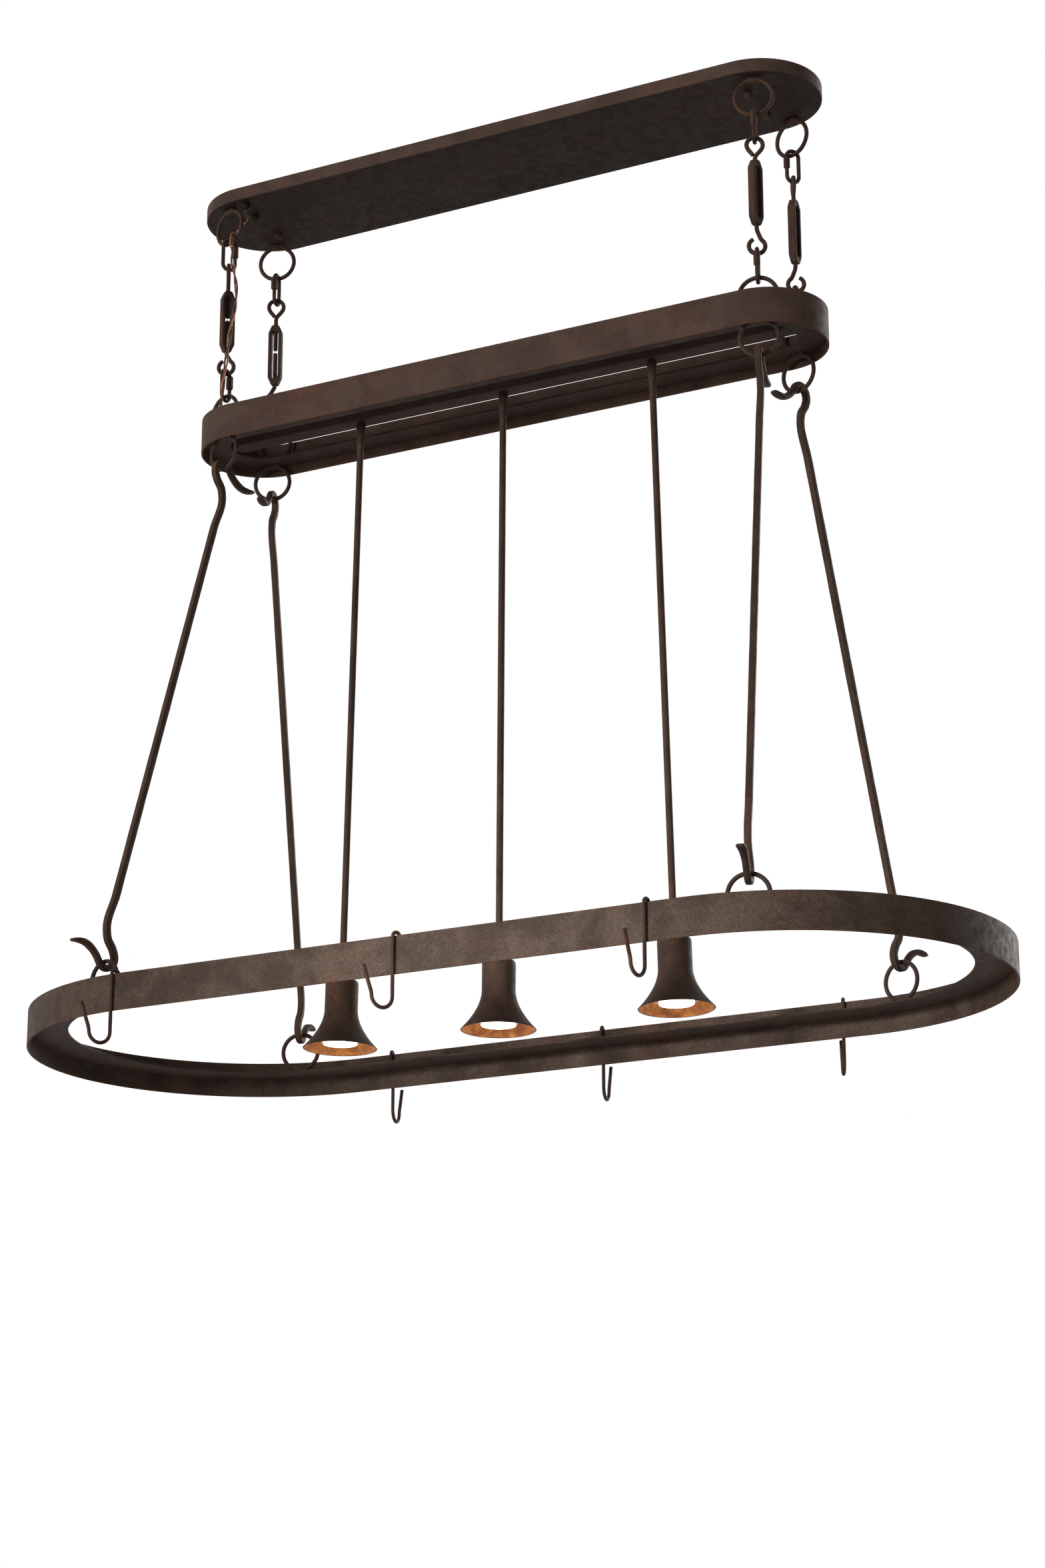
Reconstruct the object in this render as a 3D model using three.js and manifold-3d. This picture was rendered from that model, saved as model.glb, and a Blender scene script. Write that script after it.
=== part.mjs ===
// A hanging pot rack: a long oval frame for pots, hung by four rods from a smaller oval frame with
// three downlight pendants, which hangs by four adjustable chains from an oval ceiling pan.
// Millimetres, +Z up. The origin is the middle of the ceiling pan's open top, on the ceiling, and
// +X runs along the rack.
import * as THREE from 'three';
import { mergeVertices } from 'three/addons/utils/BufferGeometryUtils.js';
import Module from 'manifold-3d';

const wasm = await Module();
wasm.setup();

// ---------- driving dimensions ----------
// Gaps
const TOUCH = 0.3; // between pieces that rest on each other
const WIRE_GAP = 0.35; // between wires that hang in each other
const WELD_SINK = 0.5; // how far a weld foot runs into the sheet that it is part of

// Ceiling pan, a shallow oval tray that is open to the ceiling
const PAN_LENGTH = 1043;
const PAN_WIDTH = 191;
const PAN_DEPTH = 21;
const PAN_SHEET = 1.5;

// Two mounting bars inside the pan, each with two studs
const BAR_LENGTH = 116;
const BAR_WIDTH = 32;
const BAR_THICKNESS = 4;
const BAR_SCREW_HOLE = 6;
const STUD_FROM_END = 95.5; // from the pan's end to a stud
const STUD_Y = 35;
const STUD_DIAMETER = 6;

// Cap nuts that hold the pan up on the studs
const NUT_RADIUS = 6.4;
const NUT_HEX_HEIGHT = 5;
const NUT_DOME_RADIUS = 5.4;
const NUT_THREAD_DEPTH = 7;

// Cord grip and supply cord
const GRIP_FROM_CHAIN = [33, -6]; // along and across the rack, from the front left chain
const GRIP_RADIUS = 6.6;
const GRIP_DROP = 9.5;
const GRIP_NECK_RADIUS = 4.6;
const GRIP_LOCK_HEIGHT = 4;
const GRIP_END_RADIUS = 5.3;
const GRIP_END_TAPER = 2.2;
const CORD_DIAMETER = 6;

// Welded rings
const RING_OUTER_RADIUS = 31;
const RING_WIRE = 6.3;
const RING_TURN_DEG = 15.5; // how far a ring is turned from the long axis, along the oval's end
const FOOT_LENGTH = 16;
const FOOT_WIDTH = 7;
const FOOT_HEIGHT = 2.6;

// Chains: quick link, eye bolt, turnbuckle body, eye bolt, quick link
const LINK_WIRE = 6;
const LINK_LENGTH = 57;
const LINK_WIDTH = 25.5;
const SLEEVE_RADIUS = 5.4;
const SLEEVE_LENGTH = 22;
const SLEEVE_DROP = 10; // from the link's top to its sleeve nut
const EYE_DIAMETER = 30;
const EYE_WIRE = 6.5;
const SHANK_DIAMETER = 7;
const NECKS = 27.7; // shank that shows above and below a turnbuckle body, together
const SHANK_END_GAP = 4; // between the two shanks inside the body
// The open eye's neck, from the shank down: place across and share of the neck above the eye
const OPEN_EYE_NECK = [[0, 1], [0.4, 0.6], [2.4, 0.25]];
const OPEN_EYE_START_DEG = 52; // where the neck runs into the eye, from +X
const OPEN_EYE_STOP_DEG = -240; // where the wire ends
const BODY_LENGTH = 103.5;
const BODY_WIDTH = 21.5;
const BODY_DEPTH = 12;
const BODY_END_WIDTH = 10.5;
const BODY_TAPER = 13;
const SLOT_LENGTH = 82;
const SLOT_WIDTH = 11.5;
const BORE_GAP = 0.3; // round a shank in the body's end

// Middle frame: an oval band with an inner flange, and a wireway on the flange
const MID_LENGTH = 1042;
const MID_WIDTH = 180.5;
const MID_BAND_HEIGHT = 54;
const BAND_SHEET = 3.2;
const FLANGE_THICKNESS = 3;
const MID_BAND_RISE = 36.5; // of the band above the flange's top
const MID_FLANGE_WIDTH = 42.3;
const MID_RING_FROM_END = 71; // from the band's end to the middle of a ring, under a chain
const MID_RING_FROM_SIDE = 19.25;
const WIREWAY_LENGTH = 980;
const WIREWAY_WIDTH = 29.5;
const WIREWAY_HEIGHT = 22;
const WIREWAY_SHEET = 1.6;

// Lower frame: a larger oval band with an inner flange
const LOW_LENGTH = 1500;
const LOW_WIDTH = 646;
const LOW_BAND_HEIGHT = 53;
const LOW_BAND_RISE = 23.5;
const LOW_FLANGE_WIDTH = 56;
const LOW_RING_FROM_END = 250;
const LOW_RING_FROM_SIDE = 55;

// Rods, square bar with a hook at each end
const ROD_SIDE = 9.6;
const ROD_DROP = 817.5; // between the wires of the two rings that a rod joins
const ROD_BOWL_RADIUS = 15;
const ROD_BOWL_OFFSET = 11; // of the bowl's middle from the rod's straight line
const ROD_HOOK_RISE = 54; // from the bowl to the straight
const ROD_BOWL_STOP_DEG = 310; // where the bowl runs into the tail, from 180 at the rod's side
// The bend from the straight to the bowl: shares of the bowl's side and of the rise
const ROD_BEND = [[0, 1], [0.2, 0.8], [0.72, 0.58], [0.97, 0.39]];
const ROD_TAIL = [[6, 10], [19, 17], [31, 19.5], [43, 17.5], [54, 13]]; // across and along the rod

// Pot hooks, round wire, over the lower band's top edge
const HOOK_WIRE = 5.2;
const HOOK_CROWN_RADIUS = 5.1;
const HOOK_SHORT_LEG = 12;
const HOOK_LONG_LEG = 84;
const HOOK_BOWL_RADIUS = 16.5;
const HOOK_TIP_HEIGHT = 55;
const HOOK_TIP_LEAN = 13;
const HOOK_TIP_BEND = { lean: 0.42, height: 0.6 }; // where the tip bends outwards, as shares

// Pendants
const PENDANT_PITCH = 247;
const STEM_LENGTH = 877; // from the wireway's underside to the shade's top
const STEM_RADIUS = 5;
const STEM_THREAD_RADIUS = 4.7;
const STEM_THREAD_LENGTH = 12; // below the shade's top
const STEM_NUT_RADIUS = 8;
const STEM_NUT_HEIGHT = 5;
const WASHER_RADIUS = 6.8;
const WASHER_HEIGHT = 3;
const COLLAR_TOP_RADIUS = 7.25;
const COLLAR_FOOT_RADIUS = 6.25;
const COLLAR_LENGTH = 28;
const COLLAR_SHOULDER = 7; // from the washer down to the collar's widest place
const SHADE_HEIGHT = 101;
const SHADE_RIM_RADIUS = 54.1;
const SHADE_NECK_RADIUS = 24.2;
const SHADE_FLARE_HEIGHT = 57;
const SHADE_FLARE_POWER = 1.85;
const SHADE_SHOULDER = 6;
const SHADE_WALL = 1.2;
const SOCKET_RADIUS = 17;
const SOCKET_LENGTH = 56;
const LAMP_FACE_RADIUS = 25;
const LAMP_BASE_RADIUS = 13;
const LAMP_LENGTH = 54;
const LAMP_CONE_LENGTH = 30;
const LAMP_INSET = 6; // from the shade's rim up to the lamp's face
const LAMP_LENS_RADIUS = 22.5;
const LAMP_RIM_CHAMFER = 1.5;
const LAMP_RIM_HEIGHT = 5;

// Facets
const OVAL_STEPS = 18; // in each round end of an oval
const RING_STEPS = 16; // a multiple of 4, so that a ring has a corner at its lowest point
const WIRE_SIDES = 6;
const LINK_STEPS = 8; // in each round end of a link, even for the same reason
const ROUND_SIDES = 10;
const SHADE_SIDES = 14;
const HOOK_STEPS = 6; // in a hook's bowl
const OPEN_EYE_STEPS = 13;
const SHANK_SIDES = 8;
const WINDOW_STEPS = 4; // in each round end of a turnbuckle body's window
const DOME_STEPS = 4; // in a cap nut's sphere, from top to foot
const SHADE_SHARES = [0, 0.15, 0.32, 0.52, 0.75, 1]; // of the flare's height, at its corners
const CORD_SIDES = 8;
const CORD_STEP = 13.8;
const MERGE_GAP = 1e-4;

// ---------- places that follow from the sizes ----------
const CHAIN_X = MID_LENGTH / 2 - MID_RING_FROM_END;
const CHAIN_Y = MID_WIDTH / 2 - MID_RING_FROM_SIDE;
const ROD_FOOT_X = LOW_LENGTH / 2 - LOW_RING_FROM_END;
const ROD_FOOT_Y = LOW_WIDTH / 2 - LOW_RING_FROM_SIDE;
const STUD_X = PAN_LENGTH / 2 - STUD_FROM_END;
const GRIP_X = -CHAIN_X + GRIP_FROM_CHAIN[0];
const GRIP_Y = -CHAIN_Y + GRIP_FROM_CHAIN[1];
const RING_MEAN_RADIUS = RING_OUTER_RADIUS - RING_WIRE / 2;
const LINK_END_RADIUS = (LINK_WIDTH - LINK_WIRE) / 2;
const LINK_RUN = LINK_LENGTH - LINK_WIRE;
const EYE_MEAN_RADIUS = (EYE_DIAMETER - EYE_WIRE) / 2;
const RING_TO_LINK = (RING_WIRE + LINK_WIRE) / 2 + WIRE_GAP;
const LINK_TO_EYE = (LINK_WIRE + EYE_WIRE) / 2 + WIRE_GAP;
// a flat bar bears on a ring's wire at the bar's two edges
const BAR_ON_RING = (ROD_SIDE / 2) * Math.tan(Math.PI / RING_STEPS);
const RING_TO_ROD = (RING_WIRE + ROD_SIDE) / 2 + WIRE_GAP + BAR_ON_RING;

const PAN_RING_Z = -PAN_DEPTH - TOUCH - RING_OUTER_RADIUS;
const UPPER_LINK_TOP_Z = PAN_RING_Z - RING_MEAN_RADIUS + RING_TO_LINK;
const UPPER_LINK_FOOT_Z = UPPER_LINK_TOP_Z - LINK_RUN;
const UPPER_EYE_Z = UPPER_LINK_FOOT_Z + LINK_TO_EYE - EYE_MEAN_RADIUS;
const LOWER_EYE_Z = UPPER_EYE_Z - EYE_DIAMETER - NECKS - BODY_LENGTH;
const LOWER_LINK_TOP_Z = LOWER_EYE_Z - EYE_MEAN_RADIUS + LINK_TO_EYE;
const LOWER_LINK_FOOT_Z = LOWER_LINK_TOP_Z - LINK_RUN;
const MID_RING_Z = LOWER_LINK_FOOT_Z + RING_TO_LINK - RING_MEAN_RADIUS;
const MID_FLANGE_TOP_Z = MID_RING_Z - RING_OUTER_RADIUS;
const MID_FLANGE_FOOT_Z = MID_FLANGE_TOP_Z - FLANGE_THICKNESS;
const UNDER_RING_Z = MID_FLANGE_FOOT_Z - RING_OUTER_RADIUS;
const MID_BAND_TOP_Z = MID_FLANGE_TOP_Z + MID_BAND_RISE;
const WIREWAY_FOOT_Z = MID_FLANGE_TOP_Z + TOUCH;
const ROD_TOP_Z = UNDER_RING_Z - RING_MEAN_RADIUS;
const ROD_FOOT_Z = ROD_TOP_Z - ROD_DROP;
const LOW_RING_Z = ROD_FOOT_Z - RING_MEAN_RADIUS;
const LOW_FLANGE_TOP_Z = LOW_RING_Z - RING_OUTER_RADIUS;
const LOW_BAND_TOP_Z = LOW_FLANGE_TOP_Z + LOW_BAND_RISE;

const CORNERS = [
  { name: 'fl', x: -1, y: -1 },
  { name: 'fr', x: 1, y: -1 },
  { name: 'bl', x: -1, y: 1 },
  { name: 'br', x: 1, y: 1 },
];

// How each chain hangs: the turns of its pieces about the vertical in degrees from +X, the shank
// that shows above its turnbuckle body, and the height of the gap between the shanks in the body
const CHAINS = {
  fl: { upperLink: 50, upperEye: 122, body: 57, lowerEye: 20, lowerLink: 86, upperNeck: 17.5, gapRise: 4 },
  fr: { upperLink: 288, upperEye: 27, body: 75, lowerEye: 27, lowerLink: 288, upperNeck: 9.5, gapRise: 0 },
  bl: { upperLink: 279, upperEye: 27, body: 14, lowerEye: 204, lowerLink: 298, upperNeck: 17.5, gapRise: 6 },
  br: { upperLink: 230, upperEye: 118, body: 87, lowerEye: 204, lowerLink: 92, upperNeck: 9.5, gapRise: 0 },
};

// The six pot hooks: place along the rack, side of the rack, and turn from square, in degrees
const POT_HOOKS = [
  { x: -445, side: -1, turn: -27 },
  { x: 8, side: -1, turn: -27 },
  { x: 379, side: -1, turn: -8 },
  { x: -366, side: 1, turn: 12 },
  { x: -2, side: 1, turn: 12 },
  { x: 388, side: 1, turn: 27 },
];

// The three pendants: place in pitches from the middle, and lean in degrees towards +X
const PENDANTS = [
  { name: 'left', step: -1, lean: -1.29 },
  { name: 'middle', step: 0, lean: -0.47 },
  { name: 'right', step: 1, lean: 1.41 },
];

// The supply cord's route, from the grip to the inside of the wireway, chosen by hand: along and
// across the rack from the front left chain, and height
const CORD_ROUTE = [
  [33, -6, -31.2], [33, -6, -35], [31, 0, -42], [22, 2.5, -49], [17, 0.5, -56], [15.7, -5, -64],
  [14, -13, -73], [13.5, -14.5, -86], [14.7, -13.5, -102], [16.7, -15.5, -117], [19.5, -17, -132],
  [24, -18, -152], [26.8, -18, -177], [25.4, -18, -200], [21.1, -18, -222], [17, -18, -243],
  [15, -18.5, -263], [13, -19, -284], [10.8, -20, -306], [8.9, -20, -324], [5.5, -17.5, -340],
  [0, -11, -355], [-6.5, -6.6, -371], [-13, -4.8, -386], [-20, -2.2, -395], [-28, 4.5, -395.8],
  [-37, 15, -395.8], [-45, 28, -395.8], [-50, 43, -395.8], [-50.5, 56, -395.5], [-44, 67, -394.4],
  [-32, 71, -393.8], [-16, 71, -393.8], [4, 71, -393.8],
];

// ---------- materials ----------
const paint = (color, roughness, metalness) => (
  new THREE.MeshStandardMaterial({ color, roughness, metalness }));
const BRONZE = paint(0x4a3b34, 0.6, 0.55);
const DARK_BRONZE = paint(0x332623, 0.6, 0.55);
const ZINC = paint(0x9a9a98, 0.4, 0.9);
const BLACK_PLASTIC = paint(0x141414, 0.5, 0);
const PORCELAIN = paint(0xe8e2d6, 0.4, 0);
const LAMP_GLASS = paint(0xfff2dc, 0.15, 0);
const CORD_BROWN = paint(0x5a3324, 0.55, 0);

// ---------- helpers ----------
/** A manifold solid from a closed three.js geometry. */
function solidOf(geometry) {
  const bare = new THREE.BufferGeometry();
  bare.setAttribute('position', geometry.getAttribute('position'));
  if (geometry.index) bare.setIndex(geometry.index);
  const merged = mergeVertices(bare, MERGE_GAP);
  const corners = merged.index.array;
  const kept = [];
  for (let i = 0; i < corners.length; i += 3) {
    const [a, b, c] = corners.slice(i, i + 3);
    if (a !== b && b !== c && c !== a) kept.push(a, b, c);
  }
  const vertProperties = merged.getAttribute('position').array;
  return new wasm.Manifold(new wasm.Mesh({ numProp: 3, vertProperties, triVerts: Uint32Array.from(kept) }));
}

/** A three.js geometry from a manifold solid. */
function geometryOf(solid) {
  const mesh = solid.getMesh();
  const geometry = new THREE.BufferGeometry();
  geometry.setAttribute('position', new THREE.BufferAttribute(mesh.vertProperties, 3));
  geometry.setIndex(new THREE.BufferAttribute(mesh.triVerts, 1));
  geometry.computeVertexNormals();
  return geometry;
}

/** The first geometry joined with the others. */
function joined(first, ...others) {
  return geometryOf(others.reduce((sum, other) => sum.add(solidOf(other)), solidOf(first)));
}

/** The first geometry with the others cut away. */
function cut(first, ...others) {
  return geometryOf(others.reduce((rest, other) => rest.subtract(solidOf(other)), solidOf(first)));
}

/** One named piece in a group. */
function piece(group, name, geometry, material) {
  const mesh = new THREE.Mesh(geometry, material);
  mesh.name = name;
  group.add(mesh);
  return mesh;
}

/** A group at a place, turned about the vertical. */
function standAt(x, y, z, turnDeg = 0) {
  const group = new THREE.Group();
  group.position.set(x, y, z);
  group.rotation.z = THREE.MathUtils.degToRad(turnDeg);
  return group;
}

/** A path that goes through its own points, so that a straight run takes one step. */
class PointPath extends THREE.Curve {
  constructor(points) {
    super();
    this.points = points;
  }

  getSpacedPoints() {
    return this.points;
  }

  getTangentAt(share, target = new THREE.Vector3()) {
    const last = this.points.length - 1;
    const at = Math.round(share * last);
    const before = this.points[Math.max(at - 1, 0)];
    const here = this.points[at];
    const after = this.points[Math.min(at + 1, last)];
    const into = here.clone().sub(before).normalize();
    const out = after.clone().sub(here).normalize();
    return target.copy(into).add(out).normalize();
  }
}

/** A bar of the given section along points. */
function barAlong(points, section) {
  const extrudePath = new PointPath(points);
  return new THREE.ExtrudeGeometry(section, { steps: points.length - 1, extrudePath });
}

/** A round section of so many sides. */
function roundSection(radius, sides) {
  const corner = (i) => {
    const angle = (2 * Math.PI * i) / sides;
    return new THREE.Vector2(radius * Math.cos(angle), radius * Math.sin(angle));
  };
  return new THREE.Shape(Array.from({ length: sides }, (_, i) => corner(i)));
}

/** A square section. */
function squareSection(side) {
  const h = side / 2;
  const corners = [[-h, -h], [h, -h], [h, h], [-h, h]];
  return new THREE.Shape(corners.map(([x, y]) => new THREE.Vector2(x, y)));
}

/** Points on an arc in the upright plane through X, from one angle to another in degrees. */
function arcPoints(x, z, radius, fromDeg, toDeg, steps) {
  return Array.from({ length: steps + 1 }, (_, i) => {
    const angle = THREE.MathUtils.degToRad(fromDeg + ((toDeg - fromDeg) * i) / steps);
    return new THREE.Vector3(x + radius * Math.cos(angle), 0, z + radius * Math.sin(angle));
  });
}

/** A closed round wire through points that lie in the upright plane through X. */
function closedWire(points, radius, sides) {
  const across = new THREE.Vector3(0, 1, 0);
  const count = points.length;
  const position = [];
  const index = [];
  points.forEach((here, i) => {
    const into = here.clone().sub(points[(i + count - 1) % count]).normalize();
    const out = points[(i + 1) % count].clone().sub(here).normalize();
    const outward = into.add(out).normalize().cross(across);
    for (let k = 0; k < sides; k += 1) {
      const angle = (2 * Math.PI * k) / sides;
      const at = here.clone().addScaledVector(outward, radius * Math.cos(angle));
      at.addScaledVector(across, radius * Math.sin(angle));
      position.push(at.x, at.y, at.z);
      const [a, b] = [i * sides + k, i * sides + ((k + 1) % sides)];
      const [c, d] = [a, b].map((v) => (v + sides) % (count * sides));
      index.push(a, c, b, b, c, d);
    }
  });
  const geometry = new THREE.BufferGeometry();
  geometry.setAttribute('position', new THREE.Float32BufferAttribute(position, 3));
  geometry.setIndex(index);
  geometry.computeVertexNormals();
  return geometry;
}

/** A body of revolution about the vertical, from points [radius, height]. */
function turned(profile, sides = ROUND_SIDES) {
  const lathe = new THREE.LatheGeometry(profile.map(([r, z]) => new THREE.Vector2(r, z)), sides);
  return lathe.rotateX(Math.PI / 2);
}

/** An upright cylinder between two heights. */
function upright(radius, fromZ, toZ, sides = ROUND_SIDES) {
  const cylinder = new THREE.CylinderGeometry(radius, radius, toZ - fromZ, sides);
  return cylinder.rotateX(Math.PI / 2).translate(0, 0, (fromZ + toZ) / 2);
}

/** A box by its size, with the middle of its underside at a place. */
function blockOn(length, width, height, x, y, z) {
  return new THREE.BoxGeometry(length, width, height).translate(x, y, z + height / 2);
}

/** Draws an oval with straight sides and round ends onto a path. */
function drawOval(path, length, width) {
  const radius = width / 2;
  const reach = length / 2 - radius;
  const at = (side, i) => {
    const angle = (side - 0.5) * Math.PI + (Math.PI * i) / OVAL_STEPS;
    const middle = side ? -reach : reach;
    return new THREE.Vector2(middle + radius * Math.cos(angle), radius * Math.sin(angle));
  };
  const end = (side) => Array.from({ length: OVAL_STEPS + 1 }, (_, i) => at(side, i));
  return path.setFromPoints([...end(0), ...end(1)]);
}

/** An upright oval prism from its underside, with an oval opening if it has a wall. */
function ovalPrism(length, width, height, underside, wall = 0) {
  const shape = drawOval(new THREE.Shape(), length, width);
  if (wall) shape.holes.push(drawOval(new THREE.Path(), length - 2 * wall, width - 2 * wall));
  const prism = new THREE.ExtrudeGeometry(shape, { depth: height, bevelEnabled: false });
  return prism.translate(0, 0, underside);
}

/** How far a ring's plane is turned from the long axis at a corner. */
const ringTurn = (corner) => -corner.x * corner.y * RING_TURN_DEG;

/** A ring in the upright plane through X, with its weld foot above (1) or below (-1). */
function ringWithFoot(footSide, sink) {
  const torus = new THREE.TorusGeometry(RING_MEAN_RADIUS, RING_WIRE / 2, WIRE_SIDES, RING_STEPS);
  const footHeight = FOOT_HEIGHT + sink;
  const faceZ = RING_OUTER_RADIUS + sink;
  const footZ = footSide > 0 ? faceZ - footHeight : -faceZ;
  const foot = blockOn(FOOT_LENGTH, FOOT_WIDTH, footHeight, 0, 0, footZ);
  return joined(torus.rotateX(Math.PI / 2), foot);
}

/** That ring, placed in the rack's own frame at a corner. */
function placedRing(corner, x, y, z, footSide) {
  const ring = ringWithFoot(footSide, WELD_SINK);
  ring.rotateZ(THREE.MathUtils.degToRad(ringTurn(corner)));
  return ring.translate(corner.x * x, corner.y * y, z);
}

// ---------- ceiling pan ----------
function addCeilingPan(rack) {
  const shell = ovalPrism(PAN_LENGTH, PAN_WIDTH, PAN_DEPTH, -PAN_DEPTH);
  const inside = ovalPrism(
    PAN_LENGTH - 2 * PAN_SHEET, PAN_WIDTH - 2 * PAN_SHEET, PAN_DEPTH, PAN_SHEET - PAN_DEPTH,
  );
  const studHole = STUD_DIAMETER / 2 + TOUCH;
  const holes = CORNERS.map(({ x, y }) => (
    upright(studHole, -2 * PAN_DEPTH, 0).translate(x * STUD_X, y * STUD_Y, 0)));
  const gripHole = upright(GRIP_NECK_RADIUS + TOUCH, -2 * PAN_DEPTH, 0).translate(GRIP_X, GRIP_Y, 0);
  piece(rack, 'ceiling_pan', cut(shell, inside, ...holes, gripHole), BRONZE);
}

function addMountingBars(rack) {
  for (const [name, side] of [['left', -1], ['right', 1]]) {
    const group = standAt(side * STUD_X, 0, 0);
    const bar = blockOn(BAR_WIDTH, BAR_LENGTH, BAR_THICKNESS, 0, 0, -BAR_THICKNESS);
    const screwHole = upright(BAR_SCREW_HOLE / 2, -2 * BAR_THICKNESS, BAR_THICKNESS);
    const studFoot = -PAN_DEPTH - TOUCH - NUT_THREAD_DEPTH;
    const studs = [-STUD_Y, STUD_Y].map((y) => (
      upright(STUD_DIAMETER / 2, studFoot, WELD_SINK - BAR_THICKNESS).translate(0, y, 0)));
    piece(group, `mounting_bar_${name}`, joined(cut(bar, screwHole), ...studs), ZINC);
    rack.add(group);
  }
}

function addCapNuts(rack) {
  for (const corner of CORNERS) {
    const group = standAt(corner.x * STUD_X, corner.y * STUD_Y, -PAN_DEPTH - TOUCH);
    const hex = upright(NUT_RADIUS, -NUT_HEX_HEIGHT, 0, 6);
    const dome = new THREE.SphereGeometry(NUT_DOME_RADIUS, ROUND_SIDES, DOME_STEPS).rotateX(Math.PI / 2);
    dome.translate(0, 0, -NUT_HEX_HEIGHT);
    const bore = upright(STUD_DIAMETER / 2 + BORE_GAP, -NUT_THREAD_DEPTH - TOUCH, NUT_THREAD_DEPTH);
    piece(group, `cap_nut_${corner.name}`, cut(joined(hex, dome), bore), BRONZE);
    rack.add(group);
  }
}

function addCordGrip(rack) {
  const group = standAt(GRIP_X, GRIP_Y, 0);
  const under = -PAN_DEPTH - TOUCH;
  const floor = PAN_SHEET - PAN_DEPTH + TOUCH;
  const foot = under - GRIP_DROP;
  const grip = turned([
    [0, foot], [GRIP_END_RADIUS, foot], [GRIP_RADIUS, foot + GRIP_END_TAPER], [GRIP_RADIUS, under],
    [GRIP_NECK_RADIUS, under], [GRIP_NECK_RADIUS, floor], [GRIP_RADIUS, floor],
    [GRIP_RADIUS, floor + GRIP_LOCK_HEIGHT], [0, floor + GRIP_LOCK_HEIGHT],
  ]);
  piece(group, 'cord_grip', grip, BLACK_PLASTIC);
  rack.add(group);
}

function addPanRings(rack) {
  for (const corner of CORNERS) {
    const group = standAt(corner.x * CHAIN_X, corner.y * CHAIN_Y, PAN_RING_Z, ringTurn(corner));
    piece(group, `pan_ring_${corner.name}`, ringWithFoot(1, 0), BRONZE);
    rack.add(group);
  }
}

// ---------- chains ----------
/** A quick link with its sleeve nut, with the middle of its top wire at the origin. */
function quickLink() {
  const foot = -LINK_RUN + LINK_END_RADIUS;
  const loop = [
    ...arcPoints(0, -LINK_END_RADIUS, LINK_END_RADIUS, 180, 0, LINK_STEPS),
    ...arcPoints(0, foot, LINK_END_RADIUS, 0, -180, LINK_STEPS),
  ];
  const wire = closedWire(loop, LINK_WIRE / 2, WIRE_SIDES);
  const sleeveTop = LINK_WIRE / 2 - SLEEVE_DROP;
  const sleeve = upright(SLEEVE_RADIUS, sleeveTop - SLEEVE_LENGTH, sleeveTop, 6);
  return joined(wire, sleeve.translate(LINK_END_RADIUS, 0, 0));
}

/** An eye bolt with a closed eye round the origin and its shank straight down. */
function closedEyeBolt(shankEndZ) {
  const eye = new THREE.TorusGeometry(EYE_MEAN_RADIUS, EYE_WIRE / 2, WIRE_SIDES, RING_STEPS);
  const shank = upright(SHANK_DIAMETER / 2, shankEndZ, -EYE_MEAN_RADIUS, SHANK_SIDES);
  return joined(eye.rotateX(Math.PI / 2), shank);
}

/** An eye bolt with an open eye round the origin, an S neck and its shank straight up. */
function openEyeBolt(shankEndZ, neckLength) {
  const neck = OPEN_EYE_NECK.map(([x, share]) => (
    new THREE.Vector3(x, 0, EYE_DIAMETER / 2 + share * neckLength)));
  const eye = arcPoints(0, 0, EYE_MEAN_RADIUS, OPEN_EYE_START_DEG, OPEN_EYE_STOP_DEG, OPEN_EYE_STEPS);
  const path = [new THREE.Vector3(0, 0, shankEndZ), ...neck, ...eye];
  return barAlong(path, roundSection(EYE_WIRE / 2, WIRE_SIDES));
}

/** A turnbuckle body about the origin, its long window open along Y. */
function turnbuckleBody() {
  const half = BODY_LENGTH / 2;
  const straight = half - BODY_TAPER;
  const outline = (width, endWidth) => new THREE.Shape([
    new THREE.Vector2(-endWidth / 2, -half), new THREE.Vector2(endWidth / 2, -half),
    new THREE.Vector2(width / 2, -straight), new THREE.Vector2(width / 2, straight),
    new THREE.Vector2(endWidth / 2, half), new THREE.Vector2(-endWidth / 2, half),
    new THREE.Vector2(-width / 2, straight), new THREE.Vector2(-width / 2, -straight),
  ]);
  const depth = { depth: BODY_DEPTH, bevelEnabled: false };
  const block = new THREE.ExtrudeGeometry(outline(BODY_WIDTH, BODY_END_WIDTH), depth);
  block.translate(0, 0, -BODY_DEPTH / 2).rotateX(Math.PI / 2);
  const slot = new THREE.Shape();
  const slotRun = (SLOT_LENGTH - SLOT_WIDTH) / 2;
  slot.absarc(0, slotRun, SLOT_WIDTH / 2, 0, Math.PI, false);
  slot.absarc(0, -slotRun, SLOT_WIDTH / 2, Math.PI, 2 * Math.PI, false);
  const windowCut = new THREE.ExtrudeGeometry(
    slot, { depth: 2 * BODY_DEPTH, bevelEnabled: false, curveSegments: WINDOW_STEPS },
  );
  windowCut.translate(0, 0, -BODY_DEPTH).rotateX(Math.PI / 2);
  const bore = upright(SHANK_DIAMETER / 2 + BORE_GAP, -BODY_LENGTH, BODY_LENGTH, SHANK_SIDES);
  return cut(block, windowCut, bore);
}

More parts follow.
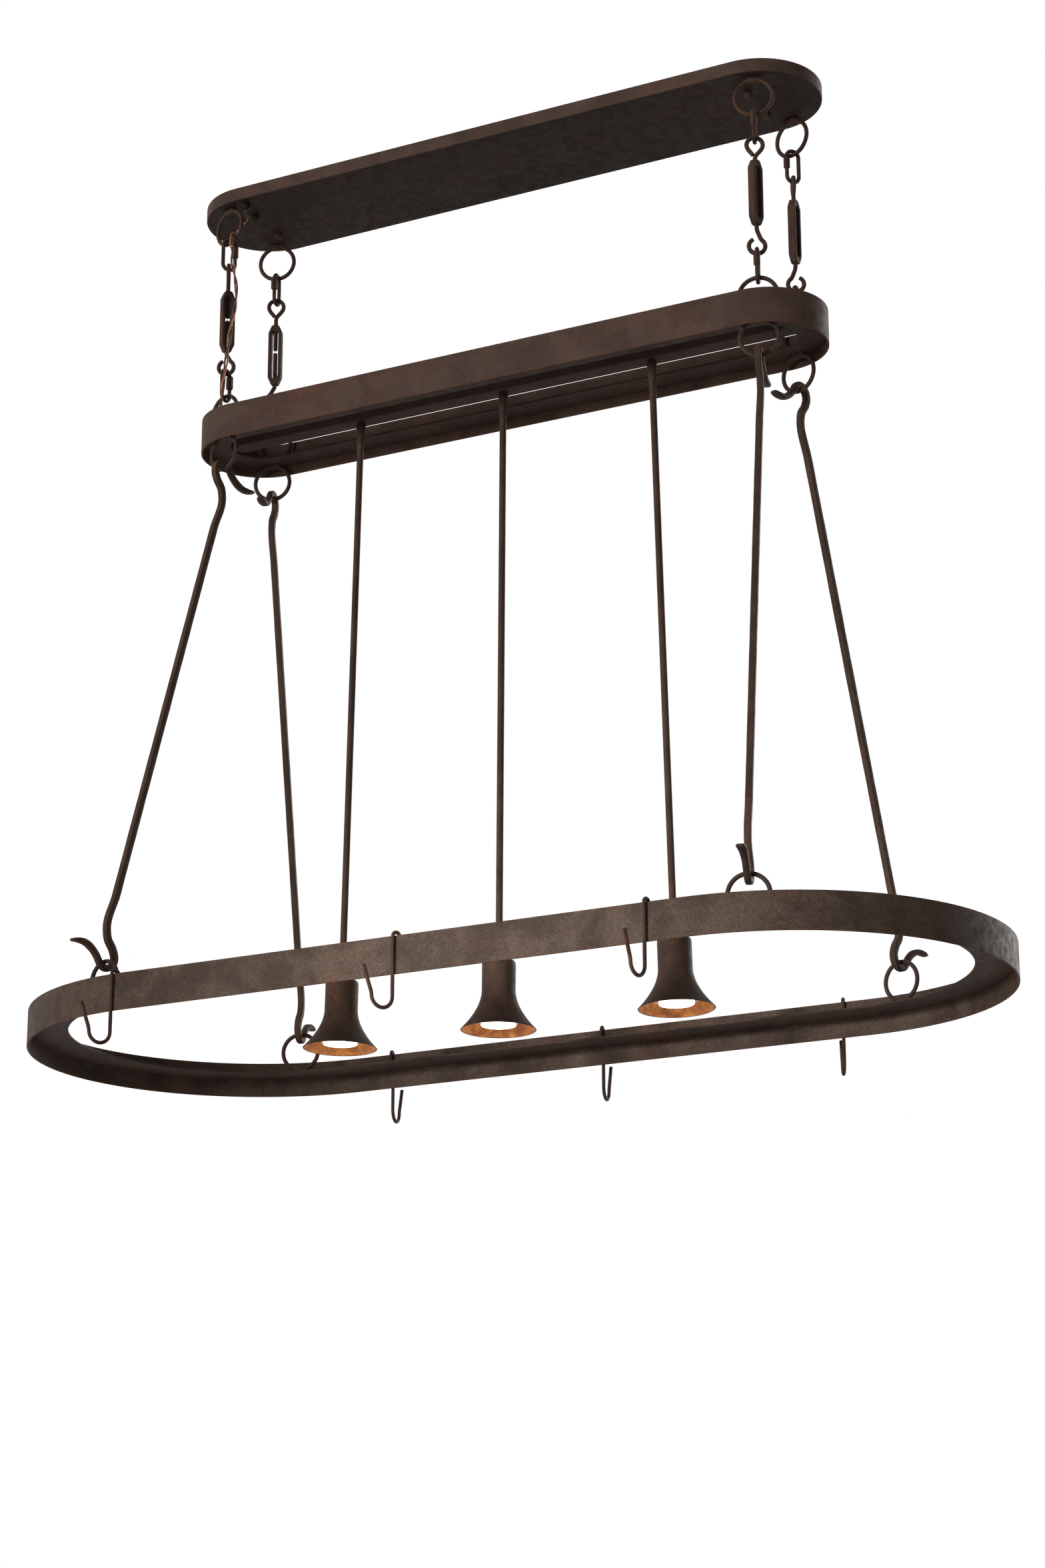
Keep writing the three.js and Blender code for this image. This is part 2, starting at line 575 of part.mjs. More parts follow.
function addChain(rack, corner) {
  const chain = CHAINS[corner.name];
  const [x, y] = [corner.x * CHAIN_X, corner.y * CHAIN_Y];
  const add = (name, z, turn, geometry) => {
    const group = standAt(x, y, z, turn);
    piece(group, `${name}_${corner.name}`, geometry, BRONZE);
    rack.add(group);
  };
  const bodyZ = UPPER_EYE_Z - (EYE_DIAMETER + BODY_LENGTH) / 2 - chain.upperNeck;
  const upperShankEnd = bodyZ + chain.gapRise + SHANK_END_GAP / 2;
  const lowerShankEnd = bodyZ + chain.gapRise - SHANK_END_GAP / 2;
  const lowerEye = openEyeBolt(lowerShankEnd - LOWER_EYE_Z, NECKS - chain.upperNeck);
  add('upper_link', UPPER_LINK_TOP_Z, chain.upperLink, quickLink());
  add('upper_eye_bolt', UPPER_EYE_Z, chain.upperEye, closedEyeBolt(upperShankEnd - UPPER_EYE_Z));
  add('turnbuckle_body', bodyZ, chain.body, turnbuckleBody());
  add('lower_eye_bolt', LOWER_EYE_Z, chain.lowerEye, lowerEye);
  add('lower_link', LOWER_LINK_TOP_Z, chain.lowerLink, quickLink());
}

// ---------- middle frame ----------
function addMiddleFrame(rack) {
  const bandFoot = MID_BAND_TOP_Z - MID_BAND_HEIGHT;
  piece(rack, 'middle_band', ovalPrism(MID_LENGTH, MID_WIDTH, MID_BAND_HEIGHT, bandFoot, BAND_SHEET), BRONZE);
  const edge = 2 * (BAND_SHEET + TOUCH);
  const flange = ovalPrism(
    MID_LENGTH - edge, MID_WIDTH - edge, FLANGE_THICKNESS, MID_FLANGE_FOOT_Z, MID_FLANGE_WIDTH,
  );
  const rings = CORNERS.flatMap((corner) => [
    placedRing(corner, CHAIN_X, CHAIN_Y, MID_RING_Z, -1),
    placedRing(corner, CHAIN_X, CHAIN_Y, UNDER_RING_Z, 1),
  ]);
  piece(rack, 'middle_flange', joined(flange, ...rings), DARK_BRONZE);
}

function addWireway(rack) {
  const outer = blockOn(WIREWAY_LENGTH, WIREWAY_WIDTH, WIREWAY_HEIGHT, 0, 0, WIREWAY_FOOT_Z);
  const floor = WIREWAY_FOOT_Z + WIREWAY_SHEET;
  const innerWidth = WIREWAY_WIDTH - 2 * WIREWAY_SHEET;
  const inner = blockOn(2 * WIREWAY_LENGTH, innerWidth, WIREWAY_HEIGHT, 0, 0, floor);
  const holes = PENDANTS.map(({ step }) => (
    upright(STEM_THREAD_RADIUS + TOUCH, WIREWAY_FOOT_Z - WIREWAY_HEIGHT, floor + WIREWAY_HEIGHT)
      .translate(step * PENDANT_PITCH, 0, 0)));
  piece(rack, 'wireway', cut(outer, inner, ...holes), DARK_BRONZE);
}

// ---------- pendants ----------
/** The stem with its lock nut, washer and collar; the wireway's underside is at height 0. */
function stemGeometry() {
  const nutFoot = WIREWAY_SHEET + 2 * TOUCH;
  const washerFoot = -2 * TOUCH - WASHER_HEIGHT;
  const collarFoot = washerFoot - COLLAR_LENGTH;
  const end = -STEM_LENGTH - STEM_THREAD_LENGTH;
  return turned([
    [0, end], [STEM_THREAD_RADIUS, end], [STEM_THREAD_RADIUS, TOUCH - STEM_LENGTH],
    [STEM_RADIUS, TOUCH - STEM_LENGTH], [STEM_RADIUS, collarFoot], [COLLAR_FOOT_RADIUS, collarFoot],
    [COLLAR_TOP_RADIUS, washerFoot - COLLAR_SHOULDER], [WASHER_RADIUS, washerFoot],
    [WASHER_RADIUS, washerFoot + WASHER_HEIGHT], [STEM_THREAD_RADIUS, washerFoot + WASHER_HEIGHT],
    [STEM_THREAD_RADIUS, nutFoot], [STEM_NUT_RADIUS, nutFoot],
    [STEM_NUT_RADIUS, nutFoot + STEM_NUT_HEIGHT], [0, nutFoot + STEM_NUT_HEIGHT],
  ]);
}

/** The bell shade; its rim is at height 0. The flare narrows by a power law up to the neck. */
function shadeGeometry() {
  const spread = SHADE_RIM_RADIUS - SHADE_NECK_RADIUS;
  const radiusAt = (h) => {
    const left = Math.max(0, 1 - h / SHADE_FLARE_HEIGHT);
    return SHADE_NECK_RADIUS + spread * left ** SHADE_FLARE_POWER;
  };
  const slopeAt = (h) => {
    const left = Math.max(0, 1 - h / SHADE_FLARE_HEIGHT);
    return (spread * SHADE_FLARE_POWER * left ** (SHADE_FLARE_POWER - 1)) / SHADE_FLARE_HEIGHT;
  };
  const heights = SHADE_SHARES.map((share) => share * SHADE_FLARE_HEIGHT);
  const outside = heights.map((h) => [radiusAt(h), h]);
  const shoulder = (wall) => [0, 45, 90].map((deg) => {
    const angle = THREE.MathUtils.degToRad(deg);
    const radius = SHADE_SHOULDER - wall;
    return [
      SHADE_NECK_RADIUS - SHADE_SHOULDER + radius * Math.cos(angle),
      SHADE_HEIGHT - SHADE_SHOULDER + radius * Math.sin(angle),
    ];
  });
  const inside = outside.map(([r, h]) => [r - SHADE_WALL * Math.hypot(1, slopeAt(h)), h]);
  const hole = STEM_THREAD_RADIUS + TOUCH;
  const profile = [
    ...outside, ...shoulder(0), [hole, SHADE_HEIGHT], [hole, SHADE_HEIGHT - SHADE_WALL],
    ...shoulder(SHADE_WALL).reverse(), ...inside.reverse(),
  ];
  return turned([...profile, profile[0]], SHADE_SIDES);
}

/** The lamp socket; the shade's rim is at height 0. */
function socketGeometry() {
  const top = SHADE_HEIGHT - SHADE_WALL - TOUCH;
  const foot = top - SOCKET_LENGTH;
  const stemBore = STEM_THREAD_RADIUS + BORE_GAP;
  const stemSeat = SHADE_HEIGHT - STEM_THREAD_LENGTH - TOUCH;
  const lampBore = LAMP_BASE_RADIUS + BORE_GAP;
  const lampSeat = LAMP_INSET + LAMP_LENGTH + TOUCH;
  const seatLevel = (stemSeat + lampSeat) / 2;
  const upper = turned([[0, seatLevel], [SOCKET_RADIUS, seatLevel], [SOCKET_RADIUS, top],
    [stemBore, top], [stemBore, stemSeat], [0, stemSeat]]);
  const lower = turned([[0, lampSeat], [lampBore, lampSeat], [lampBore, foot], [SOCKET_RADIUS, foot],
    [SOCKET_RADIUS, seatLevel + WELD_SINK], [0, seatLevel + WELD_SINK]]);
  return joined(upper, lower);
}

/** The reflector lamp; the shade's rim is at height 0. */
function lampGeometry() {
  const face = LAMP_INSET;
  const cone = face + LAMP_CONE_LENGTH;
  const top = face + LAMP_LENGTH;
  return turned([
    [0, face], [LAMP_LENS_RADIUS, face], [LAMP_FACE_RADIUS, face + LAMP_RIM_CHAMFER],
    [LAMP_FACE_RADIUS, face + LAMP_RIM_HEIGHT], [LAMP_BASE_RADIUS, cone], [LAMP_BASE_RADIUS, top], [0, top],
  ]);
}

function addPendant(rack, { name, step, lean }) {
  const group = standAt(step * PENDANT_PITCH, 0, WIREWAY_FOOT_Z);
  group.rotation.y = -THREE.MathUtils.degToRad(lean);
  piece(group, `stem_${name}`, stemGeometry(), BRONZE);
  const rim = -STEM_LENGTH - SHADE_HEIGHT;
  piece(group, `shade_${name}`, shadeGeometry().translate(0, 0, rim), BRONZE);
  piece(group, `lamp_socket_${name}`, socketGeometry().translate(0, 0, rim), PORCELAIN);
  piece(group, `lamp_${name}`, lampGeometry().translate(0, 0, rim), LAMP_GLASS);
  rack.add(group);
}

// ---------- rods ----------
/** The lower hook's middle line in the rod's own frame, with the bowl's lowest point at height 0. */
function rodHookPoints() {
  const side = -ROD_BOWL_OFFSET - ROD_BOWL_RADIUS;
  const bend = new THREE.CatmullRomCurve3([
    ...ROD_BEND.map(([x, z]) => new THREE.Vector3(x * side, 0, z * ROD_HOOK_RISE)),
    new THREE.Vector3(side, 0, ROD_BOWL_RADIUS),
  ]);
  const bowl = arcPoints(
    -ROD_BOWL_OFFSET, ROD_BOWL_RADIUS, ROD_BOWL_RADIUS, 180, ROD_BOWL_STOP_DEG, HOOK_STEPS,
  );
  const tail = new THREE.CatmullRomCurve3([
    bowl[bowl.length - 1],
    ...ROD_TAIL.map(([x, z]) => new THREE.Vector3(x, 0, z)),
  ]);
  const bendPoints = bend.getPoints(HOOK_STEPS).slice(0, -1);
  const tailPoints = tail.getPoints(HOOK_STEPS - 1).slice(1);
  return [...bendPoints, ...bowl, ...tailPoints];
}

/** The ring's wire in the lower hook: its place across and along the rod from the bowl. */
const ROD_SEAT = { across: -ROD_BOWL_OFFSET, along: RING_TO_ROD };

function addRod(rack, corner) {
  const reachX = ROD_FOOT_X - CHAIN_X;
  const reachY = ROD_FOOT_Y - CHAIN_Y;
  const reach = Math.hypot(reachX, reachY);
  const span = Math.hypot(reach, ROD_DROP);
  const along = Math.sqrt(span ** 2 - (2 * ROD_SEAT.across) ** 2);
  const lean = Math.atan2(reach, ROD_DROP) + Math.atan2(-2 * ROD_SEAT.across, along);
  const bowlZ = -along / 2 - ROD_SEAT.along;
  const lower = rodHookPoints().map((p) => new THREE.Vector3(p.x, 0, bowlZ + p.z));
  const upper = lower.map((p) => new THREE.Vector3(-p.x, 0, -p.z)).reverse();
  const rod = barAlong([...upper, ...lower], squareSection(ROD_SIDE));
  const plane = standAt(
    (corner.x * (CHAIN_X + ROD_FOOT_X)) / 2,
    (corner.y * (CHAIN_Y + ROD_FOOT_Y)) / 2,
    (ROD_TOP_Z + ROD_FOOT_Z) / 2,
  );
  plane.rotation.z = Math.atan2(corner.y * reachY, corner.x * reachX);
  const tilted = new THREE.Group();
  tilted.rotation.y = -lean;
  piece(tilted, `rod_${corner.name}`, rod, BRONZE);
  plane.add(tilted);
  rack.add(plane);
}

// ---------- lower frame ----------
function addLowerFrame(rack) {
  const bandFoot = LOW_BAND_TOP_Z - LOW_BAND_HEIGHT;
  piece(rack, 'lower_band', ovalPrism(LOW_LENGTH, LOW_WIDTH, LOW_BAND_HEIGHT, bandFoot, BAND_SHEET), BRONZE);
  const edge = 2 * (BAND_SHEET + TOUCH);
  const flangeFoot = LOW_FLANGE_TOP_Z - FLANGE_THICKNESS;
  const flange = ovalPrism(
    LOW_LENGTH - edge, LOW_WIDTH - edge, FLANGE_THICKNESS, flangeFoot, LOW_FLANGE_WIDTH,
  );
  const rings = CORNERS.map((corner) => placedRing(corner, ROD_FOOT_X, ROD_FOOT_Y, LOW_RING_Z, -1));
  piece(rack, 'lower_flange', joined(flange, ...rings), DARK_BRONZE);
}

/** Half the width of the lower band's middle line, facets and all, at a place along the rack. */
function bandHalfWidth(x) {
  const radius = (LOW_WIDTH - BAND_SHEET) / 2;
  const past = Math.max(0, Math.abs(x) - (LOW_LENGTH - LOW_WIDTH) / 2);
  const facet = Math.PI / OVAL_STEPS;
  const from = Math.floor(Math.asin(past / radius) / facet) * facet;
  const slope = (Math.cos(from + facet) - Math.cos(from)) / (Math.sin(from + facet) - Math.sin(from));
  return radius * Math.cos(from) + slope * (past - radius * Math.sin(from));
}

/** A pot hook; the band's top edge is at the origin and the hook's side is towards +X. */
function potHookGeometry() {
  const crownZ = TOUCH + HOOK_WIRE / 2 - HOOK_CROWN_RADIUS + BAND_SHEET / 2;
  const bowlX = HOOK_CROWN_RADIUS + HOOK_BOWL_RADIUS;
  const bowlZ = crownZ - HOOK_LONG_LEG;
  const tipX = bowlX + HOOK_BOWL_RADIUS;
  const bowlFoot = bowlZ - HOOK_BOWL_RADIUS;
  const tip = (lean, height) => (
    new THREE.Vector3(tipX + lean * HOOK_TIP_LEAN, 0, bowlFoot + height * HOOK_TIP_HEIGHT));
  const points = [
    new THREE.Vector3(-HOOK_CROWN_RADIUS, 0, crownZ - HOOK_SHORT_LEG),
    ...arcPoints(0, crownZ, HOOK_CROWN_RADIUS, 180, 0, HOOK_STEPS - 2),
    ...arcPoints(bowlX, bowlZ, HOOK_BOWL_RADIUS, 180, 360, HOOK_STEPS + 1),
    tip(HOOK_TIP_BEND.lean, HOOK_TIP_BEND.height),
    tip(1, 1),
  ];
  return barAlong(points, roundSection(HOOK_WIRE / 2, WIRE_SIDES));
}

function addPotHooks(rack) {
  POT_HOOKS.forEach(({ x, side, turn }, i) => {
    const group = standAt(x, side * bandHalfWidth(x), LOW_BAND_TOP_Z, side * 90 + turn);
    piece(group, `pot_hook_${i + 1}`, potHookGeometry(), BRONZE);
    rack.add(group);
  });
}

// ---------- supply cord ----------
function addSupplyCord(rack) {
  const points = CORD_ROUTE.map(([x, y, z]) => new THREE.Vector3(x - CHAIN_X, y - CHAIN_Y, z));
  const route = new THREE.CatmullRomCurve3(points);
  const steps = Math.round(route.getLength() / CORD_STEP);
  const section = roundSection(CORD_DIAMETER / 2, CORD_SIDES);
  piece(rack, 'supply_cord', new THREE.ExtrudeGeometry(section, { steps, extrudePath: route }), CORD_BROWN);
}

const rack = new THREE.Group();
addCeilingPan(rack);
addMountingBars(rack);
addCapNuts(rack);
addCordGrip(rack);
addPanRings(rack);
CORNERS.forEach((corner) => addChain(rack, corner));
addMiddleFrame(rack);
addWireway(rack);
PENDANTS.forEach((pendant) => addPendant(rack, pendant));
CORNERS.forEach((corner) => addRod(rack, corner));
addLowerFrame(rack);
addPotHooks(rack);
addSupplyCord(rack);

export default rack;
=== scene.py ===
"""The looks of a hanging pot rack.

An oval ceiling pan carries four adjustable chains, which carry a narrow oval frame with three
downlight pendants. Four forged rods hang from it and carry a wide oval frame with six pot hooks.
Lengths are in metres, +Z is up, and the origin is the middle of the pan's open top.
"""

import logging
import math
from dataclasses import dataclass, fields
from enum import Enum
from typing import Any, Sequence, Union

import bmesh
import bpy
import numpy as np
from mathutils import Matrix


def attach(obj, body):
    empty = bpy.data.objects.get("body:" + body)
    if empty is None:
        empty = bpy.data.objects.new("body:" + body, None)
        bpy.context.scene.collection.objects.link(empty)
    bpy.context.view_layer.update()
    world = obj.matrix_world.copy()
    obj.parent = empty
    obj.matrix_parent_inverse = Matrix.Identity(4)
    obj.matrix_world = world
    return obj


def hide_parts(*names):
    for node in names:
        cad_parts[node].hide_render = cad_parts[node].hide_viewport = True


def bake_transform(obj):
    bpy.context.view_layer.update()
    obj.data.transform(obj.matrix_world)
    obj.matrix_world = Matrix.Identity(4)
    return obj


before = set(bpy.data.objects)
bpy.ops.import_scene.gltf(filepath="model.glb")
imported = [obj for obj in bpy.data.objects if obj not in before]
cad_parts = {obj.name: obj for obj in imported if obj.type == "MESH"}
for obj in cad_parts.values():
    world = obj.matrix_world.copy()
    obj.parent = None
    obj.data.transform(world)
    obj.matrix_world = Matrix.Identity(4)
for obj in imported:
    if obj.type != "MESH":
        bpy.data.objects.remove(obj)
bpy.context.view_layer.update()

LOG = logging.getLogger("pot_rack")
Array = np.ndarray
Sizes = Union[float, np.ndarray]  # one for all rows, or one for each
MM = 0.001
UP = np.array([0.0, 0.0, 1.0])
ACROSS = np.array([0.0, 1.0, 0.0])
WHITE = (1.0, 1.0, 1.0, 1.0)
BLACK = (0.0, 0.0, 0.0, 1.0)

# ---------------------------------------------------------------- sizes that pieces share
TOUCH = 0.3 * MM  # between pieces that rest on each other
WIRE_GAP = 0.35 * MM  # between wires that hang in each other
RING_WIRE = 6.3 * MM
RING_RADIUS = 31 * MM  # to the outside of a ring's wire
RING_REACH = RING_RADIUS - RING_WIRE / 2  # to the middle of its wire
RING_TURN_DEG = 15.5
CHAIN_X, CHAIN_Y = 450 * MM, 71 * MM  # the chains, from the middle of the rack
FOOT_X, FOOT_Y = 500 * MM, 268 * MM  # the rods' feet
PAN_DEPTH = 21 * MM
BAND_SHEET, FLANGE_SHEET = 3.2 * MM, 3 * MM
MID_BAND_TOP, MID_BAND_HEIGHT = -363 * MM, 54 * MM
LOW_BAND_TOP, LOW_BAND_HEIGHT = -1314.2 * MM, 53 * MM
LOW_LENGTH, LOW_WIDTH = 1500 * MM, 646 * MM
MID_FLANGE_TOP = MID_BAND_TOP - 36.5 * MM
LOW_FLANGE_TOP = LOW_BAND_TOP - 23.5 * MM
# Heights of the rings' middles: under the pan, on and under the middle flange, on the lower flange
PAN_RING_Z = -PAN_DEPTH - TOUCH - RING_RADIUS
MID_RING_Z = MID_FLANGE_TOP + RING_RADIUS
UNDER_RING_Z = MID_FLANGE_TOP - FLANGE_SHEET - RING_RADIUS
LOW_RING_Z = LOW_FLANGE_TOP + RING_RADIUS


# ---------------------------------------------------------------- shapes
def unit(vectors: Array) -> Array:
    """The vectors, x, y, z along the last axis, each divided by its length."""
    return vectors / np.maximum(np.linalg.norm(vectors, axis=-1, keepdims=True), 1e-12)


@dataclass
class Form:
    """A surface as arrays: corner points, four-cornered faces, and each face's finish number."""

    points: Array
    faces: Array
    finish: Array

    @staticmethod
    def on_grid(points: Array, wrap_rows: bool = False, wrap_cols: bool = True, finish: int = 0) -> "Form":
        """A surface over a grid of points: face (i, j) joins points i, i + 1 and j, j + 1.

        Args:
            points: An array of rows x columns x 3.
            wrap_rows: Whether the last row joins the first.
            wrap_cols: Whether the last column joins the first.
            finish: The finish number of its faces.

        Returns:
            The surface.
        """
        rows, cols = points.shape[:2]
        across = np.arange(rows if wrap_rows else rows - 1)
        i, j = np.meshgrid(across, np.arange(cols if wrap_cols else cols - 1), indexing="ij")
        near, far = i * cols, ((i + 1) % rows) * cols
        beside = (j + 1) % cols
        faces = np.stack([near + j, near + beside, far + beside, far + j], -1).reshape(-1, 4)
        return Form(points.reshape(-1, 3), faces, np.full(len(faces), finish))

    def __add__(self, other: "Form") -> "Form":
        """Both surfaces as one."""
        return Form(
            np.concatenate([self.points, other.points]),
            np.concatenate([self.faces, other.faces + len(self.points)]),
            np.concatenate([self.finish, other.finish]),
        )

    def placed(self, matrix: Matrix) -> "Form":
        """The surface carried by a 4 x 4 matrix: point = rotation * point + place."""
        m = np.array(matrix)
        return Form(self.points @ m[:3, :3].T + m[:3, 3], self.faces, self.finish)


def stand_at(x: float, y: float, z: float, turn_deg: float = 0.0, tilt_deg: float = 0.0) -> Matrix:
    """A place: first tilted about Y, then turned about the vertical, then moved.

    Args:
        x: Place along the rack.
        y: Place across the rack.
        z: Height.
        turn_deg: Turn about Z in degrees.
        tilt_deg: Tilt about Y in degrees.

    Returns:
        The 4 x 4 matrix.
    """
    turn = Matrix.Rotation(math.radians(turn_deg), 4, "Z")
    return Matrix.Translation((x, y, z)) @ turn @ Matrix.Rotation(math.radians(tilt_deg), 4, "Y")


def arc(x: float, z: float, radius: float, start_deg: float, stop_deg: float, steps: int) -> Array:
    """Points on an arc in the upright XZ plane: centre + radius * (cos a, sin a).

    Args:
        x: The centre's x.
        z: The centre's z.
        radius: Radius.
        start_deg: First angle from +X.
        stop_deg: Last angle from +X.
        steps: Number of steps.

    Returns:
        The points, steps + 1 of them.
    """
    angle = np.radians(np.linspace(start_deg, stop_deg, steps + 1))
    return np.stack([x + radius * np.cos(angle), 0 * angle, z + radius * np.sin(angle)], -1)


def in_plane(*pairs: Sequence[float]) -> Array:
    """Points of the upright XZ plane from (x, z) pairs."""
    return np.array([(x, 0.0, z) for x, z in pairs])


def run_along(line: Array) -> Array:
    """The length of a line from its first point up to each of its points."""
    return np.concatenate([[0], np.cumsum(np.linalg.norm(np.diff(line, axis=0), axis=1))])


def even_steps(line: Array, step: float) -> Array:
    """The same line with its points about one step apart.

    Args:
        line: The line's points.
        step: The distance between the points returned.

    Returns:
        The new points.
    """
    run = run_along(line)
    at = np.linspace(0, run[-1], max(3, int(round(run[-1] / step)) + 1))
    return np.stack([np.interp(at, run, line[:, k]) for k in range(3)], -1)


def smooth_path(points: Array, step: float) -> Array:
    """A smooth line through points, in even steps.

    Between two points it is a cubic Hermite curve over the chord length, whose slope at each point
    is the weighted mean of the slopes on its two sides.

    Args:
        points: The points it goes through.
        step: The distance between the points returned.

    Returns:
        The line's points.
    """
    at = run_along(points)
    chord = np.linalg.norm(np.diff(points, axis=0), axis=1)
    slope = np.diff(points, axis=0) / chord[:, None]
    share = chord[:-1] / (chord[:-1] + chord[1:])
    middle = slope[:-1] * (1 - share)[:, None] + slope[1:] * share[:, None]
    tangent = np.concatenate([slope[:1], middle, slope[-1:]])
    fine = np.linspace(0, at[-1], max(8, int(at[-1] / step) * 4))
    k = np.clip(np.searchsorted(at, fine, side="right") - 1, 0, len(chord) - 1)
    h = chord[k][:, None]
    t = ((fine - at[k]) / chord[k])[:, None]
    line = (
        (2 * t**3 - 3 * t**2 + 1) * points[k]
        + (t**3 - 2 * t**2 + t) * h * tangent[k]
        + (3 * t**2 - 2 * t**3) * points[k + 1]
        + (t**3 - t**2) * h * tangent[k + 1]
    )
    return even_steps(line, step)


def round_angles(sides: int) -> Array:
    """Even angles round a circle, from 0."""
    return 2 * np.pi * np.arange(sides) / sides


def round_section(radius: float, sides: int = 16) -> Array:
    """A circle as a section: (radius * cos a, radius * sin a)."""
    angle = round_angles(sides)
    return radius * np.stack([np.cos(angle), np.sin(angle)], -1)


def soft_box(half_a: Sizes, half_b: Sizes, corner: Sizes, steps: int = 3) -> Array:
    """A box section whose corners are quarter circles.

    In each quarter the point is (half - corner) + corner * (cos a, sin a), with the quarter's signs.

    Args:
        half_a: Half the width, or one for each row.
        half_b: Half the height, or one for each row.
        corner: The corners' radius, or one for each row.
        steps: Steps in each corner.

    Returns:
        An array of rows x 4 * (steps + 1) x 2.
    """
    half_a, half_b, corner = (np.atleast_1d(np.asarray(v, float))[:, None] for v in (half_a, half_b, corner))
    angle = np.radians(np.arange(4)[:, None] * 90 + np.linspace(0, 90, steps + 1)[None]).ravel()
    sign_a = np.repeat([1, -1, -1, 1], steps + 1)
    sign_b = np.repeat([1, 1, -1, -1], steps + 1)
    a = sign_a * (half_a - corner) + corner * np.cos(angle)
    b = sign_b * (half_b - corner) + corner * np.sin(angle)
    return np.stack(np.broadcast_arrays(a, b), -1)


def softened(corners: Array, radius: float, steps: int = 3) -> Array:
    """A closed outline with its corners rounded.

    Each corner c becomes (1 - t)^2 * start + 2 t (1 - t) * c + t^2 * end, where start and end lie
    at the radius from c along its two sides, or a little under half a short side.

    Args:
        corners: The outline's corners, n x 2.
        radius: The reach of the rounding from each corner.
        steps: Steps in each corner.

    Returns:
        The rounded outline, with steps + 1 points for each corner.
    """
    before, after = np.roll(corners, 1, 0) - corners, np.roll(corners, -1, 0) - corners
    reach = [np.minimum(radius, 0.45 * np.linalg.norm(v, axis=1, keepdims=True)) for v in (before, after)]
    start, end = corners + unit(before) * reach[0], corners + unit(after) * reach[1]
    t = np.linspace(0, 1, steps + 1)[None, :, None]
    curve = (1 - t) ** 2 * start[:, None] + 2 * t * (1 - t) * corners[:, None] + t**2 * end[:, None]
    return curve.reshape(-1, 2)


# The dome on a bar's end: how far out each step lies and how wide it is, as shares
DOME = np.array([[0.0, 1.0], [0.38, 0.93], [0.71, 0.71], [0.92, 0.4], [1.0, 0.0]])


def with_ends(path: Array, section: Array, dome: float) -> tuple[Array, Array]:
    """A path and its sections with a dome added at both ends, so that the bar is closed.

    Args:
        path: The bar's middle line.
        section: One section, or one for each point.
        dome: The height of each dome.

    Returns:
        The longer path and its sections.
    """
    section = np.broadcast_to(section, (len(path), *section.shape[-2:]))
    back, on = unit(path[0] - path[1]), unit(path[-1] - path[-2])
    head = path[0] + back * dome * DOME[::-1, :1]
    tail = path[-1] + on * dome * DOME[:, :1]
    sizes = DOME[:, 1][:, None, None]
    sections = [section[0] * sizes[::-1], section[1:-1], section[-1] * sizes]
    return np.concatenate([head, path[1:-1], tail]), np.concatenate(sections)


def flat_bar(path: Array, section: Array, closed: bool = False, dome: float = 0.0) -> Form:
    """A bar along a path in the upright XZ plane.

    point(i, j) = path(i) + a(i, j) * out(i) + b(i, j) * Y, where out is the path's direction turned
    a quarter in the plane.

    Args:
        path: The middle line.
        section: One section, or one for each point.
        closed: Whether the path is a loop.
        dome: The height of the closed ends of an open bar.

    Returns:
        The bar.
    """
    if closed:
        along = unit(np.roll(path, -1, 0) - np.roll(path, 1, 0))
    else:
        path, section = with_ends(path, section, dome)
        along = unit(np.gradient(path, axis=0))
    out = np.stack([along[:, 2], 0 * along[:, 0], -along[:, 0]], -1)
    grid = path[:, None] + section[..., :1] * out[:, None] + section[..., 1:] * ACROSS
    return Form.on_grid(grid, wrap_rows=closed)


def turned(profile: Array, sides: int = 32, finish: int = 0, wave: Array | None = None) -> Form:
    """A body of revolution: (r cos a, r sin a, z) for each profile point (r, z).

    Args:
        profile: Points (r, z), from one end of the axis to the other.
        sides: Steps round the axis.
        finish: The finish number.
        wave: A factor on the radius for each step round the axis.

    Returns:
        The surface.
    """
    angle = round_angles(sides)
    radius = profile[:, :1] * (1 if wave is None else wave[None])
    height = profile[:, 1:] + 0 * angle
    grid = np.stack([radius * np.cos(angle), radius * np.sin(angle), height], -1)
    return Form.on_grid(grid, finish=finish)


def hexagonal(profile: Array, sides: int = 48) -> Form:
    """A turned body made hexagonal: its radius times cos 30 deg / cos(a mod 60 deg - 30 deg).

    Args:
        profile: Points (r, z), with r to the hexagon's corners.
        sides: Steps round the axis.

    Returns:
        The surface.
    """
    past_corner = np.mod(round_angles(sides), math.pi / 3) - math.pi / 6
    return turned(profile, sides, wave=math.cos(math.pi / 6) / np.cos(past_corner))


def ribbed(sides: int, ribs: int, depth: float) -> Array:
    """The factor on the radius that makes ribs round an axis: 1 + depth * cos(ribs * a)."""
    return 1 + depth * np.cos(ribs * round_angles(sides))


def boxed(value: Array, power: float) -> Array:
    """The value with its size raised to a power and its sign kept."""
    return np.sign(value) * np.abs(value) ** power


